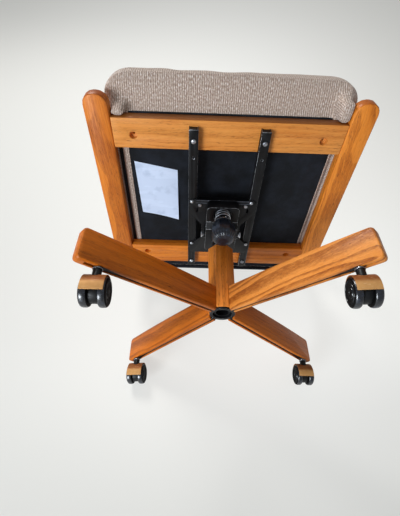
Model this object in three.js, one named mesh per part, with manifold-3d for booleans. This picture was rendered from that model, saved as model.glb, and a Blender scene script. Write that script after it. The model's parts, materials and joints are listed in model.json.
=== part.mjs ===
// An oak swivel chair on four hooded twin-wheel casters, with a tilting upholstered seat.
// Millimetres, +Z up. The front of the chair faces -Y, and left is the -X side.
import * as THREE from "three";
import { mergeVertices } from "three/addons/utils/BufferGeometryUtils.js";
import Module from "manifold-3d";

const wasm = await Module();
wasm.setup();

const clearance = 0.3; // left between faces that touch
const overrun = 20; // how far a cutting solid passes the faces that it cuts
const weld = 1e-4; // vertices nearer than this are one
const degree = Math.PI / 180;

// How the chair stands: the seat's pitch, the base's turn under it, and the underside of
// the seat frame above the floor, over the column.
const stance = { seatPitch: 5.8 * degree, baseTurn: -2.7 * degree, frameHeight: 330.7 };

// Casters: two wheels on one axle, a fork between them and a hood over them.
const wheel = { radius: 25, width: 12.1, edge: 4.2, dish: 1.6, axleDepth: 9 };
const wheelShares = { rim: 0.76, hub: 0.38, disc: 0.76 }; // of the wheel's radius
const fork = { thickness: 14.6, trail: 13, collar: 7.5, collarRise: 5, axle: 4 };
const hood = { gap: 1.4, wall: 1.5, sideInset: 2.5, frontEdge: 109 * degree, rearEdge: -48 * degree };
const stem = { radius: 5.6, hold: 13, gripGroove: 0.5, gripHeight: 4, gripDrop: 6, topGap: 6 };
const casterTurn = {
  front_left: 0,
  front_right: -7.4 * degree,
  rear_left: -9.5 * degree,
  rear_right: 2 * degree,
};

// Base: an octagonal column on a welded steel spider that four arched legs hide.
const leg = {
  thickness: 20,
  tipReach: 339.5,
  overHood: 5.7,
  tipDepth: 62.5,
  fall: 22.4,
  hubDepth: 59.5,
  archRise: 2.5,
  topCorner: 9,
  bottomCorner: 9,
  arris: 4,
};
const column = { acrossFlats: 59, sides: 8, underPan: 30.4, arris: 1.6 };
const tube = { cover: 5.5, wall: 3 };
const ring = { setUp: 3, height: 4, cover: 1.5 };
const spindle = { bushWall: 7, shoulder: 6, shoulderHeight: 7.4, clip: 3, clipHeight: 3, tip: 5 };
const bush = { lowerHeight: 30, upperHeight: 38, flange: 2, flangeHeight: 3.4 };
const bar = { thickness: 6, height: 14, recess: 2 };
const socket = { frontFromTip: 42.5, rearFromTip: 27.5, radius: 7.4, bore: 6, height: 36 };
const slotFromTip = 17.5;
const wedge = { length: 48, height: 11 };

// Swivel and tilt: a pan on the spindle, a pin through it and a sprung bolt at its front.
const pin = { behindSpindle: 1, drop: 36.7, radius: 5, spare: 3.8, head: 8, headLength: 3.2 };
const pan = {
  halfWidth: 38,
  wall: 3,
  corner: 10,
  front: -108,
  rear: 34,
  underPin: 9,
  step: 13,
  stepFrom: -48,
  stepTo: -60,
  rearDrop: 1.5,
  rimDrop: 1.6,
};
const cup = { radius: 24, wall: 2.4, underPlate: 1.3, play: 1.6 };
const bolt = { y: -82, radius: 4.8, inKnob: 44.2, saddle: 0.7, saddleLength: 28 };
const washer = { radius: 18, height: 2.2, play: 0.4 };
const knob = { height: 56.2, radius: 27.5, flutes: 8, fluteShare: 0.035, wall: 4 };
const spring = { wire: 4, radius: 16.2, height: 33.8, turns: 3.5, steps: 8, sides: 5 };

// Seat frame: two side boards, two rails and the steel channels under them. A size whose
// name ends in In is measured from the outer edge of a rail.
const seat = { height: 24, innerHalf: 236.9, boardWidth: 48.4, front: -329, rear: 139 };
const board = { corner: 22, arris: 3.5 };
const rail = { depth: 64, frontSetBack: 43, rearSetBack: 5, arris: 1.5 };
const counterbore = { inset: 41.9, frontIn: 36, rearIn: 41, radius: 8, depth: 10, hole: 2.8 };
const channel = { x: 72, width: 19.2, depth: 16.1, wall: 2, frontIn: 12, rearIn: 4, spareIn: 73 };
const screw = { frontIn: 37, rearIn: 23, radius: 2.3, head: 5.2, headHeight: 3, grip: 15 };
const plate = {
  thickness: 3,
  front: -107,
  rear: 70,
  frontHalf: 80,
  frontDepth: 36,
  waistHalf: 48,
  waistFrom: -30,
  waistTo: 13,
  rearHalf: 79,
  rearDepth: 26,
  corner: 8,
  lip: 9,
  lipHalf: 58,
  slotTravel: 9,
  slotPlay: 1.5,
  vent: 5,
  ventX: 60,
  ventFrom: -84,
  ventTo: -70,
};
const ear = { gap: 1, thickness: 3, radius: 11, rootFrom: -42, rootTo: 8 };

// Upholstery: a plywood base in a crowned cushion, with a cloth cover under it.
const cover = { inset: 24.9, endsIn: 16, thickness: 0.8 };
const ply = { thickness: 12, corner: 12 };
const cushion = { overBoard: 13, overFront: 23, rearIn: 4, foot: 2, top: 108, crown: 10 };
const pull = { side: 0.014, end: 0.016 };
const undercut = { lip: 6, drop: 2, rise: 40 }; // of the cushion in front of the front rail
const tuck = { fromBoard: 5, width: 25, depth: 13, foot: 2 }; // its corner folds

// Back and arms, in oak round a second cushion.
const back = { recline: 11 * degree, outset: 9.1, postWidth: 30, postDepth: 44 };
const post = { height: 612, topDepth: 28, topLean: 8, heelTop: 110, arris: 5, crownCorner: 12 };
const crest = { drop: 78, height: 66, arch: 12, depth: 24, set: 8, arris: 5 };
const backPad = { inset: 5, foot: 36, underCrest: 6, depth: 42, crown: 9 };
const backBoard = { thickness: 7, corner: 20 };
const arm = { underside: 196, thickness: 24, width: 46, front: -202, nose: 20, arris: 6 };
const armPost = {
  offCushion: 3.2,
  width: 26,
  footY: -118,
  topY: -150,
  depth: 44,
  topDepth: 36,
  bow: 10,
  arris: 4,
};

// Outer shape of the knob, and how a cushion swells, as shares of height and radius.
const knobShares = [
  [0, 0.26],
  [0.02, 0.5],
  [0.09, 0.76],
  [0.22, 0.93],
  [0.42, 1],
  [0.62, 0.96],
  [0.8, 0.82],
  [0.93, 0.68],
  [1, 0.62],
];
const cushionShares = [
  [0, 0.955],
  [0.1, 0.985],
  [0.32, 1],
  [0.58, 1],
  [0.78, 0.978],
  [0.91, 0.93],
  [0.98, 0.84],
  [1, 0.7],
  [1, 0.45],
];

// Finishes
const finish = (color, roughness, metalness) =>
  new THREE.MeshStandardMaterial({ color, roughness, metalness });
const oak = finish(0xb96a2c, 0.45, 0);
const blackSteel = finish(0x1b1c1f, 0.5, 0.7);
const brightSteel = finish(0xb9bcc2, 0.35, 1);
const brass = finish(0xc8995a, 0.4, 0.9);
const blackPlastic = finish(0x16171a, 0.4, 0);
const nylon = finish(0x24252a, 0.6, 0);
const tweed = finish(0x9c8b7c, 0.95, 0);
const blackCloth = finish(0x141519, 0.95, 0);
const plywood = finish(0xb98d5b, 0.8, 0);

// Sizes that follow from the ones above

const pitchCos = Math.cos(stance.seatPitch);
const pitchSin = Math.sin(stance.seatPitch);

// Height over the floor, at y, of a plane of the pitched seat frame.
const heightAt = (y, plane) => stance.frameHeight + (plane - pitchSin * y) / pitchCos;

const columnHalf = column.acrossFlats / 2;
const tubeRadius = columnHalf - tube.cover;
const tubeBore = tubeRadius - tube.wall;
const ringRadius = columnHalf - ring.cover;
const spindleRadius = tubeBore - spindle.bushWall;
const shoulderRadius = spindleRadius + spindle.shoulder;

const webUnderside = -clearance - channel.depth;
const plateTop = webUnderside - clearance;
const plateUnderside = plateTop - plate.thickness;

const pinY = -spindleRadius - pin.behindSpindle - pin.radius;
const pinZ = stance.frameHeight - pin.drop;
const panFloor = pinZ - pan.underPin;
const columnTop = panFloor - column.underPan;
const cupTop = heightAt(bolt.y + cup.radius, plateUnderside) - cup.underPlate;
const springTop = cupTop - cup.wall - clearance;
const washerTop = springTop - spring.height - clearance;
const knobTop = washerTop - washer.height - clearance;
const knobFoot = knobTop - knob.height;
const boltFoot = knobTop - bolt.inKnob;
const boltPlay = bolt.radius + washer.play;
const earInner = pan.halfWidth + ear.gap;
const pinHalfLength = earInner + ear.thickness + pin.spare + pin.headLength;

const axleHeight = wheel.radius;
const hoodInner = wheel.radius + hood.gap;
const hoodOuter = hoodInner + hood.wall;
const legTipBottom = axleHeight + hoodOuter + leg.overHood;
const legTipTop = legTipBottom + leg.tipDepth;
const hubBottom = legTipBottom + leg.fall;
const hubTop = hubBottom + leg.hubDepth;
const ringBottom = hubBottom + ring.setUp;
const frontReach = leg.tipReach - socket.frontFromTip;
const rearReach = leg.tipReach - socket.rearFromTip;

const outerHalf = seat.innerHalf + seat.boardWidth;
const cushionHalf = seat.innerHalf + cushion.overBoard;
const frontEdge = seat.front + rail.frontSetBack;
const rearEdge = seat.rear - rail.rearSetBack;
const screwFrontY = frontEdge + screw.frontIn;
const screwRearY = rearEdge - screw.rearIn;
const backY = seat.rear + clearance;
const backInner = seat.innerHalf + back.outset;
const crestFoot = post.height - crest.drop;

// Solids, joined and cut

function solidOf(geometry) {
  const bare = new THREE.BufferGeometry().setAttribute("position", geometry.attributes.position);
  if (geometry.index) bare.setIndex(geometry.index);
  const merged = mergeVertices(bare, weld);
  const { array } = merged.index;
  const make = (order) => {
    const corners = [];
    for (let i = 0; i < array.length; i += 3) {
      const [a, b, c] = [array[i], array[i + order[0]], array[i + order[1]]];
      if (a !== b && b !== c && c !== a) corners.push(a, b, c);
    }
    return new wasm.Manifold(
      new wasm.Mesh({
        numProp: 3,
        vertProperties: merged.attributes.position.array,
        triVerts: new Uint32Array(corners),
      }),
    );
  };
  const solid = make([1, 2]);
  return solid.volume() < 0 ? make([2, 1]) : solid; // a profile drawn downwards is inside out
}

function geometryOf(solid) {
  const mesh = solid.getMesh();
  return new THREE.BufferGeometry()
    .setAttribute("position", new THREE.BufferAttribute(mesh.vertProperties, mesh.numProp))
    .setIndex(new THREE.BufferAttribute(mesh.triVerts, 1));
}

const join = (...parts) => geometryOf(parts.map(solidOf).reduce((sum, part) => sum.add(part)));
const common = (a, b) => geometryOf(solidOf(a).intersect(solidOf(b)));
const cut = (body, ...cutters) =>
  geometryOf(cutters.map(solidOf).reduce((left, cutter) => left.subtract(cutter), solidOf(body)));

// Shapes

const outline = (points) => new THREE.Shape(points.map(([x, y]) => new THREE.Vector2(x, y)));

// A rectangle with corners rounded by a radius for each end, from low to high y.
function roundedOutline(x0, x1, y0, y1, lowRadius, highRadius = lowRadius) {
  const shape = new THREE.Shape();
  shape.moveTo(x0 + lowRadius, y0).lineTo(x1 - lowRadius, y0);
  if (lowRadius) shape.absarc(x1 - lowRadius, y0 + lowRadius, lowRadius, -Math.PI / 2, 0);
  shape.lineTo(x1, y1 - highRadius);
  if (highRadius) shape.absarc(x1 - highRadius, y1 - highRadius, highRadius, 0, Math.PI / 2);
  shape.lineTo(x0 + highRadius, y1);
  if (highRadius) {
    shape.absarc(x0 + highRadius, y1 - highRadius, highRadius, Math.PI / 2, Math.PI);
  }
  shape.lineTo(x0, y0 + lowRadius);
  if (lowRadius) shape.absarc(x0 + lowRadius, y0 + lowRadius, lowRadius, Math.PI, 1.5 * Math.PI);
  return shape;
}

// An outline given a thickness from z = 0 up, with its arrises rounded.
function slab(shape, thickness, arris = 0, curveSegments = 2, arrisSteps = 2) {
  const geometry = new THREE.ExtrudeGeometry(shape, {
    depth: thickness - 2 * arris,
    bevelEnabled: arris > 0,
    bevelThickness: arris,
    bevelSize: arris,
    bevelOffset: -arris,
    bevelSegments: arrisSteps,
    curveSegments,
  });
  return geometry.translate(0, 0, arris);
}

const sideways = new THREE.Matrix4().makeBasis(
  new THREE.Vector3(0, 1, 0),
  new THREE.Vector3(0, 0, 1),
  new THREE.Vector3(1, 0, 0),
);

// An outline in Y and Z, as thick as it says along X about x.
const sideSlab = (shape, x, thickness, arris = 0, curveSegments = 2) =>
  slab(shape, thickness, arris, curveSegments)
    .translate(0, 0, -thickness / 2)
    .applyMatrix4(sideways)
    .translate(x, 0, 0);

const box = (x0, x1, y0, y1, z0, z1) =>
  new THREE.BoxGeometry(x1 - x0, y1 - y0, z1 - z0).translate(
    (x0 + x1) / 2,
    (y0 + y1) / 2,
    (z0 + z1) / 2,
  );

// A profile of [radius, height] pairs turned about +Z.
const turned = (profile, segments = 18) =>
  new THREE.LatheGeometry(
    profile.map(([radius, height]) => new THREE.Vector2(radius, height)),
    segments,
  ).rotateX(Math.PI / 2);

const rod = (radius, z0, z1, segments = 16) =>
  new THREE.CylinderGeometry(radius, radius, z1 - z0, segments)
    .rotateX(Math.PI / 2)
    .translate(0, 0, (z0 + z1) / 2);

const crossRod = (radius, halfLength, y, z, segments = 16) =>
  rod(radius, -halfLength, halfLength, segments).rotateY(Math.PI / 2).translate(0, y, z);

const sleeve = (radius, bore, z0, z1, segments = 18) =>
  turned(
    [
      [bore, z0],
      [radius, z0],
      [radius, z1],
      [bore, z1],
      [bore, z0],
    ],
    segments,
  );

// A closed skin over rings of points, one above the other, with a fan at each end.
function loft(rings) {
  const count = rings[0].length;
  const centre = (points) =>
    points.reduce((sum, p) => sum.add(p), new THREE.Vector3()).divideScalar(points.length);
  const points = [...rings.flat(), centre(rings[0]), centre(rings.at(-1))];
  const [foot, top] = [points.length - 2, points.length - 1];
  const index = [];
  for (let i = 0; i < count; i++) {
    const j = (i + 1) % count;
    index.push(foot, j, i);
    for (let k = 0; k < rings.length - 1; k++) {
      const [low, high] = [k * count, (k + 1) * count];
      index.push(low + i, low + j, high + j, low + i, high + j, high + i);
    }
    const last = (rings.length - 1) * count;
    index.push(top, last + i, last + j);
  }
  return new THREE.BufferGeometry().setFromPoints(points).setIndex(index);
}

// One unbroken round wire along points, closed at both ends.
function wire(points, radius, sides) {
  const axis = new THREE.Vector3(0, 0, 1);
  const rings = points.map((point, i) => {
    const before = points[Math.max(i - 1, 0)];
    const after = points[Math.min(i + 1, points.length - 1)];
    const along = new THREE.Vector3().subVectors(after, before).normalize();
    const across = new THREE.Vector3().crossVectors(along, axis).normalize();
    const up = new THREE.Vector3().crossVectors(along, across);
    return Array.from({ length: sides }, (_, s) => {
      const angle = (2 * Math.PI * s) / sides;
      return point
        .clone()
        .addScaledVector(across, radius * Math.cos(angle))
        .addScaledVector(up, radius * Math.sin(angle));
    });
  });
  return loft(rings);
}

// Base

const legSlope = -leg.fall / (leg.tipReach - columnHalf);
const legInner = columnHalf + clearance;
const legBottomAt = (reach) => hubBottom + legSlope * (reach - columnHalf);

// Sets a solid that is drawn above z = 0 on the sloping underside of a leg.
const underLeg = (geometry) =>
  geometry.applyMatrix4(
    new THREE.Matrix4().set(1, 0, 0, 0, 0, 1, 0, 0, legSlope, 0, 1, legBottomAt(0), 0, 0, 0, 1),
  );

function wedgePlan(reach, play) {
  const near = bar.thickness / 2 + play;
  const wide = socket.radius + play;
  const from = reach - wedge.length - play;
  return outline([
    [from, -near],
    [reach, -wide],
    [reach, wide],
    [from, near],
  ]);
}

function legGeometry(reach) {
  const start = legInner - 2 * leg.arris; // trimmed off square below
  const middle = (legInner + leg.tipReach) / 2;
  const archTop = (hubTop + legTipTop) / 2 + 2 * leg.archRise;
  const archSlope = (archTop - legTipTop) / (leg.tipReach - middle);
  const shape = new THREE.Shape();
  shape.moveTo(start, legBottomAt(start));
  shape.lineTo(leg.tipReach - leg.bottomCorner, legBottomAt(leg.tipReach - leg.bottomCorner));
  shape.quadraticCurveTo(
    leg.tipReach,
    legTipBottom,
    leg.tipReach,
    legTipBottom + leg.bottomCorner,
  );
  shape.lineTo(leg.tipReach, legTipTop - leg.topCorner);
  shape.quadraticCurveTo(
    leg.tipReach,
    legTipTop,
    leg.tipReach - leg.topCorner,
    legTipTop + archSlope * leg.topCorner,
  );
  shape.quadraticCurveTo(middle, archTop, start, hubTop);
  const solid = slab(shape, leg.thickness, leg.arris, 6)
    .translate(0, 0, -leg.thickness / 2)
    .rotateX(Math.PI / 2);
  const half = leg.thickness;
  const trim = box(0, legInner, -half, half, 0, hubTop + overrun);
  const grooveHalf = bar.thickness / 2 + clearance;
  const grooveTop = bar.recess + bar.height + clearance;
  const slotEnd = leg.tipReach - slotFromTip;
  const groove = underLeg(box(0, slotEnd, -grooveHalf, grooveHalf, -overrun, grooveTop));
  const wedgeDepth = bar.recess + wedge.height + clearance + overrun;
  const recess = underLeg(slab(wedgePlan(reach, clearance), wedgeDepth).translate(0, 0, -overrun));
  const hole = rod(
    socket.radius + clearance,
    legTipBottom - overrun,
    legBottomAt(reach) + bar.recess + socket.height + clearance,
  ).translate(reach, 0, 0);
  return cut(solid, trim, groove, recess, hole);
}

const legPlaces = {
  front_left: { angle: -135 * degree, reach: frontReach },
  front_right: { angle: -45 * degree, reach: frontReach },
  rear_left: { angle: 135 * degree, reach: rearReach },
  rear_right: { angle: 45 * degree, reach: rearReach },
};
const columnFoot = ringBottom + ring.height + clearance;

function columnGeometry() {
  const radius = columnHalf / Math.cos(Math.PI / column.sides);
  const corner = (i) => ((2 * i + 1) * Math.PI) / column.sides;
  const shape = outline(
    Array.from({ length: column.sides }, (_, i) => [
      radius * Math.cos(corner(i)),
      radius * Math.sin(corner(i)),
    ]),
  );
  const solid = slab(shape, columnTop - columnFoot, column.arris).translate(0, 0, columnFoot);
  const bore = rod(tubeRadius + clearance, 0, columnTop + overrun, 32);
  const half = bar.thickness / 2 + clearance;
  const slotTop = legBottomAt(tubeRadius) + bar.recess + bar.height + clearance;
  const slots = Object.values(legPlaces).map(({ angle }) =>
    box(0, column.acrossFlats, -half, half, 0, slotTop).rotateZ(angle),
  );
  return cut(solid, bore, ...slots);
}

function spiderGeometry() {
  const hub = join(
    sleeve(tubeRadius, tubeBore, ringBottom, columnTop - clearance, 32),
    sleeve(ringRadius, tubeBore, ringBottom, ringBottom + ring.height, 32),
  );
  const barHalf = bar.thickness / 2;
  const barFrom = (tubeRadius + tubeBore) / 2;
  const barTop = bar.recess + bar.height;
  const arms = Object.values(legPlaces).map(({ angle, reach }) => {
    const foot = legBottomAt(reach) + bar.recess;
    const arm = join(
      underLeg(box(barFrom, reach, -barHalf, barHalf, bar.recess, barTop)),
      underLeg(slab(wedgePlan(reach, 0), wedge.height).translate(0, 0, bar.recess)),
      rod(socket.radius, foot, foot + socket.height, 12).translate(reach, 0, 0),
    );
    const bore = rod(socket.bore, 0, foot + socket.height + overrun, 12);
    return cut(arm, bore.translate(reach, 0, 0)).rotateZ(angle);
  });
  return join(hub, ...arms);
}

const bushRadius = tubeBore - clearance;
const bushBore = spindleRadius + clearance;
const clipFoot = ringBottom + ring.height;
const bushFoot = clipFoot + spindle.clipHeight + clearance;

const lowerBush = () => sleeve(bushRadius, bushBore, bushFoot, bushFoot + bush.lowerHeight);

function upperBush() {
  const seatZ = columnTop + clearance;
  return turned([
    [bushBore, seatZ - bush.upperHeight],
    [bushRadius, seatZ - bush.upperHeight],
    [bushRadius, seatZ],
    [tubeRadius + bush.flange, seatZ],
    [tubeRadius + bush.flange, seatZ + bush.flangeHeight],
    [bushBore, seatZ + bush.flangeHeight],
    [bushBore, seatZ - bush.upperHeight],
  ]);
}

// Casters, drawn about their own swivel axis

const collarFoot = axleHeight + fork.collarRise;
const collarTopAt = (reach) => legBottomAt(reach + fork.collar) - clearance;

function forkGeometry(reach) {
  const collarTop = collarTopAt(reach);
  const halfAxle = fork.thickness / 2 + wheel.axleDepth - clearance;
  const body = join(
    crossRod(wheelShares.disc * wheel.radius, fork.thickness / 2, fork.trail, axleHeight, 18),
    rod(fork.collar, collarFoot, collarTop, 14),
    crossRod(fork.axle, halfAxle, fork.trail, axleHeight, 10),
  );
  const bore = rod(stem.radius + clearance, collarTop - stem.hold, collarTop + overrun, 10);
  return cut(body, bore);
}

function stemGeometry(reach) {
  const foot = collarTopAt(reach) - stem.hold + clearance;
  const stemTop = legBottomAt(reach) + bar.recess + socket.height - stem.topGap;
  const grip = stemTop - stem.gripDrop;
  const waist = stem.radius - stem.gripGroove;
  return turned(
    [
      [0, foot],
      [stem.radius, foot],
      [stem.radius, grip - stem.gripHeight],
      [waist, grip - stem.gripHeight],
      [waist, grip],
      [stem.radius, grip],
      [waist, stemTop],
      [0, stemTop],
    ],
    10,
  );
}

// The hood's arc is measured from straight up, forwards over the wheels.
function hoodGeometry() {
  const width = fork.thickness + 2 * (clearance + wheel.width - hood.sideInset);
  const from = Math.PI / 2 + hood.rearEdge;
  const to = Math.PI / 2 + hood.frontEdge;
  const shape = new THREE.Shape();
  shape.absarc(0, 0, hoodOuter, from, to);
  shape.absarc(0, 0, hoodInner, to, from, true);
  const shell = sideSlab(shape, 0, width, 0, 6).translate(0, fork.trail, axleHeight);
  return cut(shell, rod(fork.collar + clearance, collarFoot, legTipBottom + overrun, 14));
}

// A wheel lies on its inner face here, before it is turned on to the axle.
function wheelGeometry(side) {
  const edge = (angle) => wheel.edge * (1 - Math.sin(angle));
  const curve = (angle) => wheel.edge * (1 - Math.cos(angle));
  const arc = [0, 45 * degree];
  const rim = wheelShares.rim * wheel.radius;
  const hub = wheelShares.hub * wheel.radius;
  const geometry = turned(
    [
      [0, wheel.axleDepth],
      [fork.axle + clearance, wheel.axleDepth],
      [fork.axle + clearance, 0],
      [wheel.radius - wheel.edge, 0],
      ...arc.toReversed().map((a) => [wheel.radius - curve(a), edge(a)]),
      ...arc.map((a) => [wheel.radius - curve(a), wheel.width - edge(a)]),
      [wheel.radius - wheel.edge, wheel.width],
      [rim, wheel.width],
      [rim - wheel.dish, wheel.width - wheel.dish],
      [hub + wheel.dish, wheel.width - wheel.dish],
      [hub, wheel.width],
      [0, wheel.width],
    ],
    18,
  );
  const inner = fork.thickness / 2 + clearance;
  geometry.translate(0, 0, inner).rotateY(Math.PI / 2);
  if (side < 0) geometry.rotateZ(Math.PI);
  return geometry.translate(0, fork.trail, axleHeight);
}

// Swivel and tilt

// The tilt pin in the seat frame's own directions.
const pinInSeat = {
  y: pinY * pitchCos - (pinZ - stance.frameHeight) * pitchSin,
  z: pinY * pitchSin + (pinZ - stance.frameHeight) * pitchCos,
};

function panOutline(play, floorLift) {
  const frontRim = heightAt(pan.front, plateUnderside) - clearance;
  const pinRim = heightAt(pinY, plateUnderside) - pan.rimDrop;
  return outline([
    [pan.rear, panFloor + floorLift],
    [pan.rear, pinZ - pan.rearDrop + play],
    [pinY, pinRim + play],
    [pan.front, frontRim + play],
    [pan.front, panFloor + pan.step + floorLift],
    [pan.stepTo, panFloor + pan.step + floorLift],
    [pan.stepFrom, panFloor + floorLift],
  ]);
}

function panGeometry() {
  const plan = (inset) =>
    slab(
      roundedOutline(
        inset - pan.halfWidth,
        pan.halfWidth - inset,
        pan.front + inset,
        pan.rear - inset,
        pan.corner - inset,
      ),
      cupTop + overrun,
    );
  const width = 2 * pan.halfWidth + overrun;
  const shell = cut(
    common(sideSlab(panOutline(0, 0), 0, width), plan(0)),
    common(sideSlab(panOutline(overrun, pan.wall), 0, width), plan(pan.wall)),
  );
  const cupFoot = panFloor + pan.step;
  const body = join(
    shell,
    rod(cup.radius, cupFoot, cupTop).translate(0, bolt.y, 0),
    rod(shoulderRadius, spindleShoulderTop + clearance, panFloor + pan.wall / 2),
  );
  return cut(
    body,
    rod(cup.radius - cup.wall, 0, cupTop - cup.wall).translate(0, bolt.y, 0),
    rod(bolt.radius + cup.play, 0, cupTop + overrun, 16).translate(0, bolt.y, 0),
    rod(spindleRadius + clearance, 0, cupTop),
    crossRod(pin.radius + clearance, width, pinY, pinZ),
  );
}

const spindleShoulder = columnTop + bush.flangeHeight + 2 * clearance;
const spindleShoulderTop = spindleShoulder + spindle.shoulderHeight;

function spindleGeometry() {
  const top = panFloor + pan.wall + spindle.tip;
  const clipRadius = spindleRadius + spindle.clip;
  return turned([
    [0, clipFoot],
    [clipRadius, clipFoot],
    [clipRadius, clipFoot + spindle.clipHeight],
    [spindleRadius, clipFoot + spindle.clipHeight],
    [spindleRadius, spindleShoulder],
    [shoulderRadius, spindleShoulder],
    [shoulderRadius, spindleShoulderTop],
    [spindleRadius, spindleShoulderTop],
    [spindleRadius, top],
    [0, top],
  ]);
}

function pinGeometry() {
  const head = (side) =>
    rod(pin.head, -pin.headLength / 2, pin.headLength / 2, 6)
      .rotateY(Math.PI / 2)
      .translate(side * (pinHalfLength - pin.headLength / 2), pinY, pinZ);
  return join(crossRod(pin.radius, pinHalfLength, pinY, pinZ), head(-1), head(1));
}

function boltGeometry() {
  const saddle = bolt.radius + bolt.saddle;
  const saddleZ = heightAt(bolt.y, plateTop) + saddle / pitchCos + clearance;
  return join(
    rod(bolt.radius, boltFoot, saddleZ, 16).translate(0, bolt.y, 0),
    crossRod(saddle, bolt.saddleLength / 2, bolt.y, saddleZ),
  );
}

const washerGeometry = () =>
  sleeve(washer.radius, boltPlay, washerTop - washer.height, washerTop).translate(0, bolt.y, 0);

function knobGeometry() {
  const points = knob.flutes * 3;
  const rings = knobShares.map(([up, out]) =>
    Array.from({ length: points }, (_, i) => {
      const angle = (2 * Math.PI * i) / points;
      const radius = knob.radius * out * (1 + knob.fluteShare * Math.cos(knob.flutes * angle));
      const z = knobFoot + up * (knobTop - knobFoot);
      return new THREE.Vector3(radius * Math.cos(angle), radius * Math.sin(angle), z);
    }),
  );
  const bore = rod(boltPlay, boltFoot - knob.wall, knobTop + overrun, 16);
  return cut(loft(rings), bore).translate(0, bolt.y, 0);
}

function springPoints() {
  const rise = spring.height - spring.wire;
  const count = spring.turns * spring.steps;
  return Array.from({ length: count + 1 }, (_, i) => {
    const angle = (2 * Math.PI * i) / spring.steps;
    return new THREE.Vector3(
      spring.radius * Math.cos(angle),
      bolt.y + spring.radius * Math.sin(angle),
      washerTop + clearance + spring.wire / 2 + (rise * i) / count,
    );
  });
}

// The least gap of a coil to itself, between points at least half a turn apart.
function leastGap(points, diameter, apart) {
  let least = Infinity;
  points.forEach((a, i) =>
    points.slice(i + apart).forEach((b) => {
      least = Math.min(least, a.distanceTo(b) - diameter);
    }),
  );
  return least;
}

// Seat frame, drawn in its own directions: z = 0 is the underside of its boards

function sideBoardGeometry(side) {
  const shape = roundedOutline(
    side < 0 ? -outerHalf : seat.innerHalf,
    side < 0 ? -seat.innerHalf : outerHalf,
    seat.front,
    seat.rear,
    board.corner,
    2 * board.arris,
  );
  return slab(shape, seat.height, board.arris);
}

const screwHole = (x, y) =>
  rod(screw.radius + clearance, -overrun, screw.grip + clearance, 8).translate(x, y, 0);

function railGeometry(from, to, boreY, screwY) {
  const half = seat.innerHalf - clearance;
  const shape = roundedOutline(-half, half, from, to, 2 * rail.arris);
  const boreX = seat.innerHalf - counterbore.inset;
  const holes = [-1, 1].flatMap((side) => [
    rod(counterbore.radius, -overrun, counterbore.depth, 14).translate(side * boreX, boreY, 0),
    rod(counterbore.hole, -overrun, seat.height + overrun, 8).translate(
      side * boreX,
      boreY,
      0,
    ),
    screwHole(side * channel.x, screwY),
  ]);
  return cut(slab(shape, seat.height, rail.arris), ...holes);
}

function channelGeometry(side) {
  const half = channel.width / 2;
  const inner = half - channel.wall;
  const web = webUnderside + channel.wall;
  const section = outline([
    [-half, webUnderside],
    [half, webUnderside],
    [half, -clearance],
    [inner, -clearance],
    [inner, web],
    [-inner, web],
    [-inner, -clearance],
    [-half, -clearance],
  ]);
  const rear = rearEdge - channel.rearIn;
  const length = rear - frontEdge - channel.frontIn;
  const solid = slab(section, length).rotateX(Math.PI / 2).translate(0, rear, 0);
  const spareY = frontEdge + channel.spareIn;
  const holes = [screwFrontY, screwRearY, spareY].map((y) => screwHole(0, y));
  return cut(solid, ...holes).translate(side * channel.x, 0, 0);
}

function screwGeometry(side, y) {
  const under = webUnderside - clearance;
  return turned(
    [
      [0, under - screw.headHeight],
      [screw.head / 2, under - screw.headHeight],
      [screw.head, under - screw.headHeight / 3],
      [screw.head, under],
      [screw.radius, under],
      [screw.radius, screw.grip],
      [0, screw.grip],
    ],
    8,
  ).translate(side * channel.x, y, 0);
}

function plateGeometry() {
  const shape = new THREE.Shape();
  const c = plate.corner;
  const half = [
    [plate.frontHalf - c, plate.front],
    [plate.frontHalf, plate.front + c],
    [plate.frontHalf, plate.front + plate.frontDepth],
    [plate.waistHalf, plate.waistFrom],
    [plate.waistHalf, plate.waistTo],
    [plate.rearHalf, plate.rear - plate.rearDepth],
    [plate.rearHalf, plate.rear - c],
    [plate.rearHalf - c, plate.rear],
  ];
  const mirrored = half.map(([x, y]) => [-x, y]).toReversed();
  [...half, ...mirrored].forEach(([x, y], i) => (i ? shape.lineTo(x, y) : shape.moveTo(x, y)));
  const sheet = slab(shape, plate.thickness).translate(0, 0, plateUnderside);
  const lip = box(
    -plate.lipHalf,
    plate.lipHalf,
    plate.front,
    plate.front + plate.thickness,
    plateUnderside,
    plateTop + plate.lip,
  );
  const ears = [-1, 1].map((side) => {
    const shape = new THREE.Shape();
    shape.moveTo(ear.rootTo, plateUnderside + plate.thickness / 2);
    shape.lineTo(ear.rootFrom, plateUnderside + plate.thickness / 2);
    shape.lineTo(pinInSeat.y - ear.radius, pinInSeat.z);
    shape.absarc(pinInSeat.y, pinInSeat.z, ear.radius, Math.PI, 2 * Math.PI);
    return sideSlab(shape, side * (earInner + ear.thickness / 2), ear.thickness);
  });
  const boltY = (bolt.y - plateTop * pitchSin) / pitchCos;
  const slotHalf = bolt.radius + plate.slotPlay;
  const slot = slab(
    roundedOutline(
      -slotHalf,
      slotHalf,
      boltY - plate.slotTravel - slotHalf,
      boltY + slotHalf,
      slotHalf / 2,
    ),
    overrun,
  ).translate(0, 0, plateUnderside - overrun / 2);
  const vents = [-1, 1].map((side) =>
    slab(
      roundedOutline(
        side * plate.ventX - plate.vent / 2,
        side * plate.ventX + plate.vent / 2,
        plate.ventFrom,
        plate.ventTo,
        plate.vent / 2.5,
      ),
      overrun,
    ).translate(0, 0, plateUnderside - overrun / 2),
  );
  const pinHole = crossRod(
    pin.radius + clearance,
    pinHalfLength,
    pinInSeat.y,
    pinInSeat.z,
  );
  return cut(join(sheet, lip, ...ears), slot, ...vents, pinHole);
}

// Upholstery

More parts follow.
